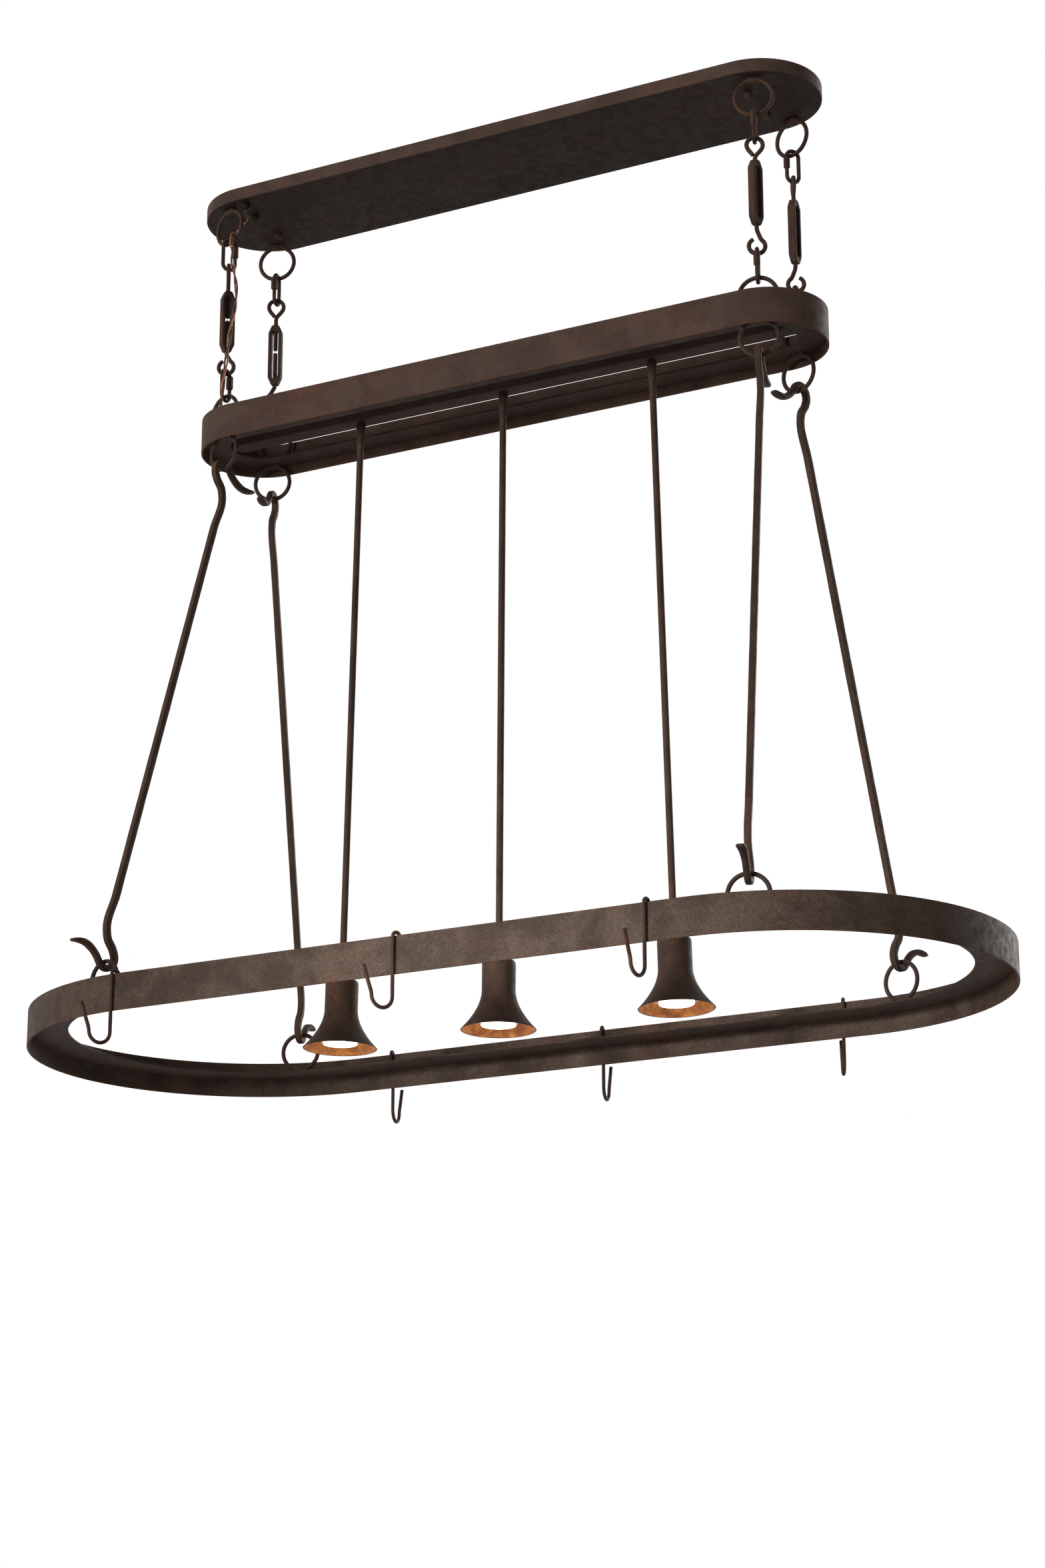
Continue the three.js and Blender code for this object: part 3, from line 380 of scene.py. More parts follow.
def pebble(size: Sequence[float], power: float, rough: float = 0.0, rows: int = 10, cols: int = 18) -> Form:
    """A soft block about the origin.

    x = X * c(v) * c(u), y = Y * c(v) * s(u), z = Z * s(v), where c and s are the cosine and the sine
    with their size raised to a power: 1 gives an egg, and towards 0 a box.

    Args:
        size: Its length, width and height.
        power: The power.
        rough: The share by which slow waves push the surface in and out.
        rows: Rows of points from pole to pole.
        cols: Steps round.

    Returns:
        The block.
    """
    v, u = np.meshgrid(np.linspace(-np.pi / 2, np.pi / 2, rows), round_angles(cols), indexing="ij")
    lump = 1 + rough * np.sin(3 * u + 1.3) * np.cos(2 * v + 0.4)
    level = boxed(np.cos(v), power)
    x, y = level * boxed(np.cos(u), power), level * boxed(np.sin(u), power)
    grid = np.stack([x, y, boxed(np.sin(v), power)], -1) * lump[..., None]
    return Form.on_grid(grid * np.array(size) / 2)


def along_x(outline: Array, places: Array) -> Array:
    """An outline carried along the rack: point (x, y, z) for each place x and outline point (y, z).

    Args:
        outline: Points (y, z).
        places: The values of x.

    Returns:
        An array of places x outline points x 3.
    """
    grid = np.zeros((len(places), len(outline), 3))
    grid[..., 0] = places[:, None]
    grid[..., 1:] = outline
    return grid


def round_oval(length: float, width: float, profile: Array, straight: int = 20, bend: int = 56) -> Form:
    """A closed profile carried round an oval.

    point = middle + (radius + offset) * outward + height * Z, where the middle runs along the
    oval's straight part and outward turns round its ends. An offset of -radius closes the oval.

    Args:
        length: The oval's length.
        width: Its width.
        profile: Points (offset, height) of a closed outline.
        straight: Steps along each straight side.
        bend: Steps round each end.

    Returns:
        The surface.
    """
    radius = width / 2
    reach = length / 2 - radius
    turn = np.linspace(-np.pi / 2, np.pi / 2, bend + 1)
    run = np.linspace(1, -1, straight + 1)[1:-1] * reach
    middle = np.concatenate([np.full(bend + 1, reach), run, np.full(bend + 1, -reach), -run])
    side = np.full(straight - 1, np.pi / 2)
    angle = np.concatenate([turn, side, turn + np.pi, -side])
    out = np.stack([np.cos(angle), np.sin(angle)], -1)
    far = radius + profile[None, :, :1]
    flat = far * out[:, None] + np.stack([middle, 0 * middle], -1)[:, None]
    high = np.broadcast_to(profile[None, :, 1:], (*flat.shape[:2], 1))
    return Form.on_grid(np.concatenate([flat, high], -1), wrap_rows=True)


# ---------------------------------------------------------------- shading
Linked = Union[float, "Signal"]
MIX_SHARE, MIX_FIRST, MIX_SECOND, MIX_COLOUR = 0, 6, 7, 2  # the sockets of a node that mixes colours


class Signal:
    """A number that varies over a surface. Arithmetic on it adds Math nodes."""

    def __init__(self, bench: "Bench", socket: bpy.types.NodeSocket) -> None:
        """Keeps the bench and the socket that gives the number."""
        self.bench = bench
        self.socket = socket

    def __add__(self, other: Linked) -> "Signal":
        """This plus other."""
        return self.bench.maths("ADD", self, other)

    def __radd__(self, other: Linked) -> "Signal":
        """Other plus this."""
        return self.bench.maths("ADD", other, self)

    def __mul__(self, other: Linked) -> "Signal":
        """This times other."""
        return self.bench.maths("MULTIPLY", self, other)

    def __rmul__(self, other: Linked) -> "Signal":
        """Other times this."""
        return self.bench.maths("MULTIPLY", other, self)

    def __sub__(self, other: Linked) -> "Signal":
        """This minus other."""
        return self.bench.maths("SUBTRACT", self, other)

    def __rsub__(self, other: Linked) -> "Signal":
        """Other minus this."""
        return self.bench.maths("SUBTRACT", other, self)

    def size(self) -> "Signal":
        """This without its sign."""
        return self.bench.maths("ABSOLUTE", self)

    def or_more(self, other: Linked) -> "Signal":
        """The larger of this and other."""
        return self.bench.maths("MAXIMUM", self, other)

    def between(self, low: float, high: float) -> "Signal":
        """0 below low, 1 above high, and a smooth step from one to the other.

        Args:
            low: The number that gives 0.
            high: The number that gives 1.

        Returns:
            The step.
        """
        sockets = {"Value": self, "From Min": low, "From Max": high}
        made = self.bench.node("ShaderNodeMapRange", {"interpolation_type": "SMOOTHSTEP"}, sockets)
        return Signal(self.bench, made.outputs["Result"])


class Bench:
    """A node tree, with one method that adds any node."""

    def __init__(self, tree: bpy.types.NodeTree) -> None:
        """Clears the tree."""
        self.tree = tree
        self.tree.nodes.clear()

    def node(self, kind: str, settings: dict | None = None, sockets: dict | None = None) -> bpy.types.Node:
        """Adds a node.

        Args:
            kind: The node's type.
            settings: Its own settings, set first.
            sockets: A value or a link for each input, by name or number.

        Returns:
            The node.
        """
        made = self.tree.nodes.new(kind)
        for key, value in (settings or {}).items():
            setattr(made, key, value)
        for key, value in (sockets or {}).items():
            self.feed(made.inputs[key], value)
        return made

    def feed(self, into: bpy.types.NodeSocket, value: Any) -> None:
        """Links a socket or sets its value.

        Args:
            into: The socket.
            value: A signal or a socket to link, or a value.
        """
        if isinstance(value, Signal):
            value = value.socket
        if isinstance(value, bpy.types.NodeSocket):
            self.tree.links.new(value, into)
        else:
            into.default_value = value

    def maths(self, operation: str, *values: Linked) -> Signal:
        """One Math node's result, from its operation and the numbers that it takes."""
        made = self.node("ShaderNodeMath", {"operation": operation}, dict(enumerate(values)))
        return Signal(self, made.outputs[0])

    def seen(self) -> Signal:
        """Tells the rays that see the background from those that carry light.

        Returns:
            1 for a ray from the camera, off gloss or through glass, and 0 for any other.
        """
        rays = self.node("ShaderNodeLightPath").outputs
        through = Signal(self, rays["Is Glossy Ray"]).or_more(Signal(self, rays["Is Transmission Ray"]))
        return Signal(self, rays["Is Camera Ray"]).or_more(through)


class Coat(Bench):
    """A material's nodes, round its one shader."""

    def __init__(self, name: str) -> None:
        """Makes the material and its shader.

        Args:
            name: The material's name.
        """
        self.material = bpy.data.materials.new(name)
        self.material.use_nodes = True
        super().__init__(self.material.node_tree)
        self.shader = self.node("ShaderNodeBsdfPrincipled")
        self.node("ShaderNodeOutputMaterial", {}, {"Surface": self.shader.outputs[0]})
        self.place = self.node("ShaderNodeTexCoord").outputs["Object"]

    def noise(self, per_metre: float, detail: float = 3.0, rough: float = 0.55, warp: float = 0.0) -> Signal:
        """Noise on the object's own place.

        Args:
            per_metre: How many waves to a metre.
            detail: Octaves.
            rough: How strong the fine octaves are.
            warp: Distortion.

        Returns:
            A number about 0.5.
        """
        sockets = {"Vector": self.place, "Scale": per_metre, "Detail": detail}
        sockets |= {"Roughness": rough, "Distortion": warp}
        return Signal(self, self.node("ShaderNodeTexNoise", {}, sockets).outputs["Fac"])

    def mix(self, share: Linked, first: Any, second: Any) -> bpy.types.NodeSocket:
        """A mix of two colours or links, in which the second shows by its share."""
        sockets = {MIX_SHARE: share, MIX_FIRST: first, MIX_SECOND: second}
        return self.node("ShaderNodeMix", {"data_type": "RGBA"}, sockets).outputs[MIX_COLOUR]

    def relief(self, height: Signal, distance: float, strength: float) -> bpy.types.NodeSocket:
        """A fine relief: the normal leans as the height changes."""
        sockets = {"Height": height, "Distance": distance, "Strength": strength}
        return self.node("ShaderNodeBump", {}, sockets).outputs["Normal"]

    def painted(self, sockets: dict[str, Any]) -> bpy.types.Material:
        """The material, once a value or a link has been given to each of these sockets of its shader."""
        for name, value in sockets.items():
            self.feed(self.shader.inputs[name], value)
        return self.material


def colour(red: int, green: int, blue: int) -> tuple[float, float, float, float]:
    """A screen colour as the linear one that a shader takes.

    Args:
        red: Red, 0 to 255.
        green: Green, 0 to 255.
        blue: Blue, 0 to 255.

    Returns:
        The linear colour, with a full alpha.
    """
    screen = np.array([red, green, blue]) / 255
    linear = np.where(screen <= 0.04045, screen / 12.92, ((screen + 0.055) / 1.055) ** 2.4)
    return (*linear.tolist(), 1.0)


@dataclass(frozen=True)
class Patina:
    """Oil-rubbed brown paint with clouds, fine grit and rust."""

    name: str
    dark: tuple = colour(64, 49, 42)
    brown: tuple = colour(86, 66, 57)
    pale: tuple = colour(132, 114, 101)
    rust: tuple = colour(122, 66, 38)
    grit: float = 0.35  # share of the paler grit, which on the lower band is in part painted sheen
    rusty: float = 0.3  # strength of the rust
    roughness: float = 0.58
    metallic: float = 0.05
    specular: float = 0.08
    relief: float = 0.22 * MM
    band: tuple = ()  # top and height of an upright band, whose edges rust
    worn: tuple = (2.4 * MM, 0.3 * MM)  # from a band's edge, where its rust starts and is full

    def edge_rust(self, coat: Coat) -> Signal:
        """The rust along the edges of an upright band.

        Args:
            coat: The material's nodes.

        Returns:
            How red it is.
        """
        top, tall = self.band
        height = Signal(coat, coat.node("ShaderNodeSeparateXYZ", {}, {0: coat.place}).outputs["Z"])
        edge = (height - (top - tall / 2)).size().between(tall / 2 - self.worn[0], tall / 2 - self.worn[1])
        return edge * coat.noise(150, 4, 0.7).between(0.4, 0.62) * self.rusty

    def made(self) -> bpy.types.Material:
        """Clouds of two browns, grit on top, then rust where patches and flecks meet and on a band's edges.

        Returns:
            The material.
        """
        coat = Coat(self.name)
        clouds = coat.noise(14, 4, 0.6, 0.4).between(0.36, 0.66)
        blots = coat.noise(75, 4, 0.62).between(0.38, 0.64)
        grain = coat.noise(520, 3, 0.7, 1.8).between(0.4, 0.66)
        patches = coat.noise(9, 5, 0.66, 0.8).between(0.53, 0.68)
        flecks = coat.noise(260, 4, 0.7).between(0.46, 0.62)
        red = patches * flecks * self.rusty
        if self.band:
            red = red + self.edge_rust(coat)
        base = coat.mix(clouds * 0.55 + blots * 0.45, self.dark, self.brown)
        gritty = coat.mix(grain * (0.35 + clouds * 0.65) * self.grit, base, self.pale)
        height = grain * 0.5 + blots + coat.noise(420, 3, 0.6)
        return coat.painted({
            "Base Color": coat.mix(red, gritty, self.rust),
            "Roughness": self.roughness + blots * 0.14 + red * 0.15 - grain * 0.05,
            "Metallic": self.metallic,
            "Specular IOR Level": self.specular,
            "Normal": coat.relief(height, self.relief, 0.55),
        })


@dataclass(frozen=True)
class Copper:
    """Coppery paint inside the shades, in blotches: the bronze painted lighter, as painted lamplight."""

    name: str
    dark: tuple = colour(152, 86, 44)
    # The lighter tone is painted lamplight.
    bright: tuple = colour(238, 158, 86)
    roughness: float = 0.5
    metallic: float = 0.25
    relief: float = 0.2 * MM

    def made(self) -> bpy.types.Material:
        """Two coppery tones in blotches, the lighter one painted lamplight, with fine dark pits.

        Returns:
            The material.
        """
        coat = Coat(self.name)
        blots = coat.noise(60, 5, 0.68, 0.5).between(0.32, 0.68)
        pits = coat.noise(420, 3, 0.7).between(0.3, 0.5)
        return coat.painted({
            "Base Color": coat.mix(1 - pits, coat.mix(blots, self.dark, self.bright), self.dark),
            "Roughness": self.roughness + blots * 0.15,
            "Metallic": self.metallic,
            "Normal": coat.relief(blots + pits * 0.5, self.relief, 0.4),
        })


@dataclass(frozen=True)
class Plain:
    """A finish of one substance with a slight mottle: zinc, nylon, porcelain, glass or a wire's jacket."""

    name: str
    tone: tuple
    shade: tuple
    per_metre: float
    roughness: float
    metallic: float = 0.0
    relief: float = 0.05 * MM
    specular: float = 0.5

    def made(self) -> bpy.types.Material:
        """Two tones in noise, and a relief from the same noise.

        Returns:
            The material.
        """
        coat = Coat(self.name)
        mottle = coat.noise(self.per_metre, 4, 0.6).between(0.35, 0.65)
        return coat.painted({
            "Base Color": coat.mix(mottle, self.shade, self.tone),
            "Roughness": self.roughness + mottle * 0.08,
            "Metallic": self.metallic,
            "Specular IOR Level": self.specular,
            "Normal": coat.relief(mottle, self.relief, 0.4),
        })


@dataclass(frozen=True)
class Glow:
    """The lit face of a lamp, whitest in the middle of each lens dimple."""

    name: str
    tone: tuple = (1.0, 0.82, 0.52, 1.0)
    hot: tuple = (1.0, 0.93, 0.78, 1.0)
    strength: float = 18.0
    dimples: float = 330.0  # to a metre
    roughness: float = 0.25
    relief: float = 0.4 * MM

    def made(self) -> bpy.types.Material:
        """A cell pattern between two warm whites, lit from within.

        Returns:
            The material.
        """
        coat = Coat(self.name)
        cells = coat.node("ShaderNodeTexVoronoi", {}, {"Vector": coat.place, "Scale": self.dimples})
        far = Signal(coat, cells.outputs["Distance"])
        light = coat.mix(far, self.hot, self.tone)
        return coat.painted({
            "Base Color": light,
            "Emission Color": light,
            "Emission Strength": self.strength,
            "Roughness": self.roughness,
            "Normal": coat.relief(far, self.relief, 0.5),
        })


class Slot(Enum):
    """The record's material slots of the pieces made here."""

    BRONZE = "bronze_paint"
    NYLON = "black_plastic"
    CORD = "cord_jacket"
    SOCKET = "socket_ceramic"
    LAMP = "lamp_glass"


@dataclass
class Paints:
    """Every finish of the rack, each turned into its material once."""

    pan: Any = Patina("pan_bronze", grit=0.16, rusty=0.5)
    # The pan's underside: a darker copy of the bronze, painted shade where little light reaches under the
    # pan.
    pan_under: Any = Patina(
        "pan_under_bronze", dark=colour(38, 26, 21), brown=colour(55, 39, 33), grit=0.1, rusty=0.4
    )
    middle_band: Any = Patina(
        "middle_band_bronze", pale=colour(102, 84, 74), grit=0.6, rusty=0.4,
        band=(MID_BAND_TOP, MID_BAND_HEIGHT),
    )
    # Paler and greyer than the other paints, with the most grit: grey flecks, and in part painted sheen on
    # the band's front.
    lower_band: Any = Patina(
        "lower_band_bronze", dark=colour(53, 41, 35), brown=colour(76, 61, 52), pale=colour(123, 107, 94),
        grit=0.75, rusty=0.4, band=(LOW_BAND_TOP, LOW_BAND_HEIGHT),
    )
    flange: Any = Patina(
        "flange_bronze", dark=colour(56, 43, 38), brown=colour(78, 61, 53), grit=0.12, rusty=0.4
    )
    wire: Any = Patina(
        "forged_bronze", dark=colour(55, 40, 33), brown=colour(78, 58, 48), grit=0.12, rusty=0.7
    )
    rod: Any = Patina("rod_bronze", dark=colour(58, 44, 37), brown=colour(82, 62, 52), grit=0.1, rusty=0.6)
    shade: Any = Patina(
        "shade_bronze", dark=colour(48, 35, 28), brown=colour(76, 57, 46), grit=0.14, rusty=0.5
    )
    # The inside of the shades: painted lamplight on the bronze.
    copper: Any = Copper("shade_lining")
    zinc: Any = Plain("zinc_plate", colour(176, 176, 172), colour(146, 146, 144), 300, 0.38, 0.9)
    nylon: Any = Plain("black_nylon", colour(24, 23, 23), colour(16, 16, 16), 900, 0.5, specular=0.12)
    porcelain: Any = Plain("white_porcelain", colour(236, 230, 220), colour(224, 217, 204), 120, 0.22)
    glass: Any = Plain("reflector_glass", colour(226, 222, 214), colour(190, 188, 184), 240, 0.15, 0.7)
    glow: Any = Glow("lamp_glow")
    rim_glow: Any = Glow("lamp_rim_glow", strength=4.0)
    brown_wire: Any = Plain("brown_jacket", colour(82, 48, 35), colour(58, 36, 28), 500, 0.4, specular=0.25)
    copper_wire: Any = Plain("clear_copper_jacket", colour(158, 86, 54), colour(104, 56, 38), 260, 0.26, 0.45)

    def __post_init__(self) -> None:
        """Turns each finish into its material."""
        for finish in fields(self):
            setattr(self, finish.name, getattr(self, finish.name).made())


def set_out(name: str, data: bpy.types.ID) -> bpy.types.Object:
    """Makes an object and puts it into the scene.

    Args:
        name: The object's name.
        data: Its mesh, camera or lamp.

    Returns:
        The object.
    """
    obj = bpy.data.objects.new(name, data)
    bpy.context.scene.collection.objects.link(obj)
    return obj


@dataclass
class Workshop:
    """Turns forms into objects that ride on the frame."""

    paints: Paints
    made: int = 0

    def put(self, name: str, form: Form, finishes: Sequence[bpy.types.Material], body: str,
            nodes: Sequence[str], sharp_deg: float = 38.0) -> bpy.types.Object:
        """Makes one piece.

        Args:
            name: The piece's name.
            form: Its surface.
            finishes: A material for each finish number.
            body: The body that it rides on, or nothing if it bends between two.
            nodes: The nodes of the frame that it stands for.
            sharp_deg: Edges that turn by more than this stay sharp.

        Returns:
            The object.
        """
        mesh = bpy.data.meshes.new(name)
        mesh.from_pydata(form.points.tolist(), [], form.faces.tolist())
        mesh.polygons.foreach_set("material_index", form.finish.astype(np.int32))
        edit = bmesh.new()
        edit.from_mesh(mesh)
        bmesh.ops.remove_doubles(edit, verts=edit.verts, dist=0.002 * MM)
        bmesh.ops.recalc_face_normals(edit, faces=edit.faces)
        edit.to_mesh(mesh)
        edit.free()
        mesh.polygons.foreach_set("use_smooth", np.ones(len(mesh.polygons), bool))
        mesh.set_sharp_from_angle(angle=math.radians(sharp_deg))
        for finish in finishes:
            mesh.materials.append(finish)
        obj = set_out(name, mesh)
        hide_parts(*nodes)
        if body:
            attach(obj, body)
        self.made += 1
        LOG.info("%s: %d faces", name, len(mesh.polygons))
        return obj

    def dress(self, node: str, finish: bpy.types.Material) -> None:
        """Gives a node of the frame a better material.

        Args:
            node: The node's name.
            finish: The material.
        """
        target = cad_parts[node].data
        target.materials.clear()
        target.materials.append(finish)
        LOG.info("%s: dressed", node)


# ---------------------------------------------------------------- sub-assemblies
class Corner(Enum):
    """The four hanging points, as (side along the rack, side across it)."""

    FL = (-1, -1)
    FR = (1, -1)
    BL = (-1, 1)
    BR = (1, 1)

    @property
    def key(self) -> str:
        """The ending of the corner's node names."""
        return self.name.lower()

    @property
    def ring_turn(self) -> float:
        """How far the corner's rings are turned, in degrees."""
        return -RING_TURN_DEG * self.value[0] * self.value[1]

    def at(self, x: float, y: float) -> tuple[float, float]:
        """The place at this corner of a point given for the back right one."""
        return self.value[0] * x, self.value[1] * y


@dataclass
class WireRing:
    """A welded ring of round wire with its weld."""

    plate: tuple = (21 * MM, 9 * MM, 3.4 * MM)
    gusset: tuple = (15 * MM, 7.4 * MM, 8.4 * MM)
    steps: int = 72
    uneven: float = 0.012  # share by which the wire's thickness varies

    def form(self, foot_side: int) -> Form:
        """The ring about the origin: a wire round a circle, with two soft blocks for its weld.

        Args:
            foot_side: 1 for a weld above it, -1 for one below.

        Returns:
            The ring.
        """
        middle = arc(0, 0, RING_REACH, 0, 360, self.steps)[:-1]
        size = 1 + self.uneven * np.sin(round_angles(self.steps) * 5 + 0.6)
        ring = flat_bar(middle, round_section(RING_WIRE / 2)[None] * size[:, None, None], closed=True)
        sheet = RING_RADIUS + TOUCH
        for block, power, rough in ((self.plate, 0.35, 0.04), (self.gusset, 0.6, 0.06)):
            ring += pebble(block, power, rough).placed(stand_at(0, 0, foot_side * (sheet - block[2] / 2)))
        return ring

    def at(self, corner: Corner, x: float, y: float, z: float, foot_side: int) -> Form:
        """The ring in its place at a corner, given for the back right one."""
        return self.form(foot_side).placed(stand_at(*corner.at(x, y), z, corner.ring_turn))


@dataclass
class CeilingPan:
    """The oval pan with its bars, cap nuts, cord grip and rings."""

    length: float = 1043 * MM
    width: float = 191 * MM
    sheet: float = 1.5 * MM
    edge_radius: float = 1.6 * MM
    stud: tuple = (426 * MM, 35 * MM)
    grip: tuple = (-417 * MM, -77 * MM)
    nut_turns: tuple = (12, 41, 27, 3)  # degrees, in the corners' order
    eased_reach: float = 0.2  # how far in the rim's outline is eased, as a share of half the width
    floor_reach: float = 0.12  # how far in the flat floor's first points lie, as the same share

    def shell(self) -> Form:
        """The pan: an outline of its sheet, carried round the oval and closed in the middle.

        The rim's four corners are eased, and the floor runs in to the oval's middle line. Its
        underside has the finish number 1, a darker paint that is painted shade.

        Returns:
            The pan.
        """
        r, s, d = self.width / 2, self.sheet, PAN_DEPTH
        rim, steps = [(0, -d), (0, 0), (-s, 0), (-s, s - d)], 4
        inward, start = self.eased_reach * r, self.floor_reach * r
        eased = softened(np.array([*rim, (-inward, s - d), (-inward, -d)]), self.edge_radius, steps)
        floor = np.array([(-start, s - d), (-r, s - d), (-r, -d), (-start, -d)])
        form = round_oval(self.length, self.width, np.concatenate([eased[: len(rim) * (steps + 1)], floor]))
        # Faces on the floor's underside take finish 1: painted shade under the pan.
        form.finish[form.points[form.faces][:, :, 2].max(axis=1) < 0.1 * MM - d] = 1
        return form

    def cap_nut(self) -> Form:
        """A dome nut, top at height 0: a hexagon with eased edges, then a dome, as (radius, height).

        Returns:
            The nut.
        """
        hexagon = np.array([(0, 0), (5.9, 0), (6.3, -0.5), (6.3, -4.4), (5.7, -5.0), (0, -5.0)])
        radius, rise, start = 5.3, 5.1, -4.9
        angle = np.radians(np.linspace(0, 90, 9))
        dome = np.stack([radius * np.cos(angle), start - rise * np.sin(angle)], -1)
        return hexagonal(hexagon * MM) + turned(np.array([(0, start + 0.1), *dome]) * MM, 28)

    def cord_grip(self) -> Form:
        """The grip: a ribbed domed nut below the pan and a plain lock nut above it, as (radius, height).

        Returns:
            The grip.
        """
        nut = [(0, 0), (6.2, 0), (6.6, -0.5), (6.6, -5.6), (6.2, -7.2), (5.2, -8.7), (3.9, -9.5), (0, -9.5)]
        collar = [(0, 0.1), (6.9, 0.1), (7.0, -0.3), (6.9, -1.3), (0, -1.3)]
        lock = [(0, 0), (6.0, 0), (6.4, 0.4), (6.4, 3.6), (6.0, 4.0), (0, 4.0)]
        under, inside = -PAN_DEPTH - TOUCH, self.sheet - PAN_DEPTH + TOUCH
        sides, ribs, depth = 64, 8, 0.035
        below = turned(np.array(nut) * MM, sides, wave=ribbed(sides, ribs, depth))
        below = below.placed(stand_at(*self.grip, under))
        flats = turned(np.array(collar) * MM, 6).placed(stand_at(*self.grip, under, 10))
        return below + flats + hexagonal(np.array(lock) * MM).placed(stand_at(*self.grip, inside))

    def build(self, shop: Workshop) -> None:
        """Makes and dresses every piece of the pan.

        Args:
            shop: The workshop.
        """
        paints, body = shop.paints, "root"
        # The second paint is the darker copy with painted shade, for the underside.
        sides = [paints.pan, paints.pan_under]
        shop.put("pan_shell", self.shell(), sides, body, ["ceiling_pan"])
        shop.put("grip_body", self.cord_grip(), [paints.nylon], body, ["cord_grip"])
        for side in ("left", "right"):
            shop.dress(f"mounting_bar_{side}", paints.zinc)
        for turn, corner in zip(self.nut_turns, Corner):
            key, forged = corner.key, [paints.wire]
            # The nuts take the rustier wire paint: rust, and in part a painted warm highlight where light
            # catches them.
            nut = self.cap_nut().placed(stand_at(*corner.at(*self.stud), -PAN_DEPTH - TOUCH, turn))
            shop.put(f"dome_nut_{key}", nut, forged, body, [f"cap_nut_{key}"])
            ring = WireRing().at(corner, CHAIN_X, CHAIN_Y, PAN_RING_Z, 1)
            shop.put(f"top_ring_{key}", ring, forged, body, [f"pan_ring_{key}"])


@dataclass
class Chain:
    """One chain: quick link, eye bolt, turnbuckle body, eye bolt, quick link."""

    corner: Corner
    turns: tuple  # of the five pieces about the vertical, in degrees
    upper_neck: float  # shank that shows above the body
    gap_rise: float  # of the gap between the shanks above the body's middle
    wire: float = 6 * MM
    link_run: float = 51 * MM  # between the wire's middles at the link's ends
    link_radius: float = 9.75 * MM
    sleeve_length: float = 22 * MM
    sleeve_drop: float = 10 * MM  # below the link's top
    eye_radius: float = 11.75 * MM
    eye_wire: float = 6.5 * MM
    eye_reach: float = 15 * MM  # from an eye's middle to where its neck starts
    closed_neck: tuple = ((0.4, 19.8), (2.4, 15.8), (6.3, 11.3))  # mm across and above the eye
    closed_turn: tuple = (26, -206)  # degrees, from the neck to the tip
    closed_tip: tuple = ((-6.8, 11.0), (-4.4, 13.9), (-3.1, 16.2))  # mm across and above the eye
    open_neck: tuple = ((0, 1), (0.4, 0.6), (2.4, 0.25))  # mm across and share of the neck
    open_turn: tuple = (52, -240)
    swell: tuple = ((0, 1.04), (0.12, 1), (0.9, 1), (1, 0.94))  # the eye's thickness along its wire
    overlap: float = 2 * MM  # of an eye's wire into its threaded shank
    shank: float = 7 * MM
    shank_gap: float = 4 * MM  # between the two shanks inside the body
    necks: float = 27.7 * MM  # shank that shows above and below the body, together
    body: tuple = (103.5 * MM, 21.5 * MM, 12 * MM)
    window: tuple = (82 * MM, 11.5 * MM)
    end_width: float = 10.5 * MM
    end_thinner: float = 0.14  # share by which the body's ends are thinner
    taper: float = 13 * MM
    ease: float = 1.6 * MM
    bar_corner: float = 1.4 * MM
    thread: float = 1.27 * MM
    thread_depth: float = 0.42 * MM

    def heights(self) -> tuple[float, float, float, float]:
        """The heights of the upper link, the upper eye, the lower eye and the lower link.

        A link is given by its top wire's middle and an eye by its middle. Each hangs in the next by
        half of both wires and a gap.

        Returns:
            The four heights.
        """
        in_ring = (RING_WIRE + self.wire) / 2 + WIRE_GAP
        in_eye = (self.wire + self.eye_wire) / 2 + WIRE_GAP - self.eye_radius
        upper_link = PAN_RING_Z - RING_REACH + in_ring
        lower_link = MID_RING_Z + RING_REACH - in_ring + self.link_run
        return upper_link, upper_link - self.link_run + in_eye, lower_link - in_eye, lower_link

    def quick_link(self) -> Form:
        """A long loop of wire with a hexagonal sleeve nut on one side.

        Returns:
            The link, with its top wire's middle at the origin.
        """
        r, run = self.link_radius, self.link_run
        top, foot = arc(0, -r, r, 180, 0, 20), arc(0, r - run, r, 0, -180, 20)
        step = np.linspace(0, 1, 8)[1:-1, None]
        down, up = top[-1] + (foot[0] - top[-1]) * step, foot[-1] + (top[0] - foot[-1]) * step
        wire = flat_bar(np.concatenate([top, down, foot, up]), round_section(self.wire / 2, 14), closed=True)
        half = self.sleeve_length / 2
        end = np.array([(0, 0), (3.9, 0), (4.9, 0.5), (5.3, 1.3), (5.4, 2.4)]) * MM  # radius, from the end
        sleeve = hexagonal(np.concatenate([end - (0, half), end[::-1] * (1, -1) + (0, half)]), 36)
        return wire + sleeve.placed(stand_at(r, 0, self.wire / 2 - self.sleeve_drop - half))

    def threaded(self, start: float, stop: float) -> Form:
        """A shank between two heights, with a thread.

        radius = shank / 2 - depth * (1 + cos(2 pi * (z / pitch + a / 2 pi))) / 2, and the ends close
        in a short dome.

        Args:
            start: The lower height.
            stop: The upper height.

        Returns:
            The shank.
        """
        sides, tip, tip_size = 20, 1.2 * MM, 0.55
        z = np.linspace(start, stop, int((stop - start) / self.thread * 6))[:, None]
        a = round_angles(sides)[None]
        radius = self.shank / 2 - self.thread_depth * (1 + np.cos(2 * np.pi * z / self.thread + a)) / 2
        ease = np.minimum(1, (np.minimum(z - start, stop - z) / tip) * (1 - tip_size) + tip_size)
        rod = np.stack([radius * ease * np.cos(a), radius * ease * np.sin(a), z + 0 * a], -1)
        ends = [np.repeat(np.array([[[0, 0, h]]]), sides, 1) for h in (start, stop)]
        return Form.on_grid(np.concatenate([ends[0], rod, ends[1]]))

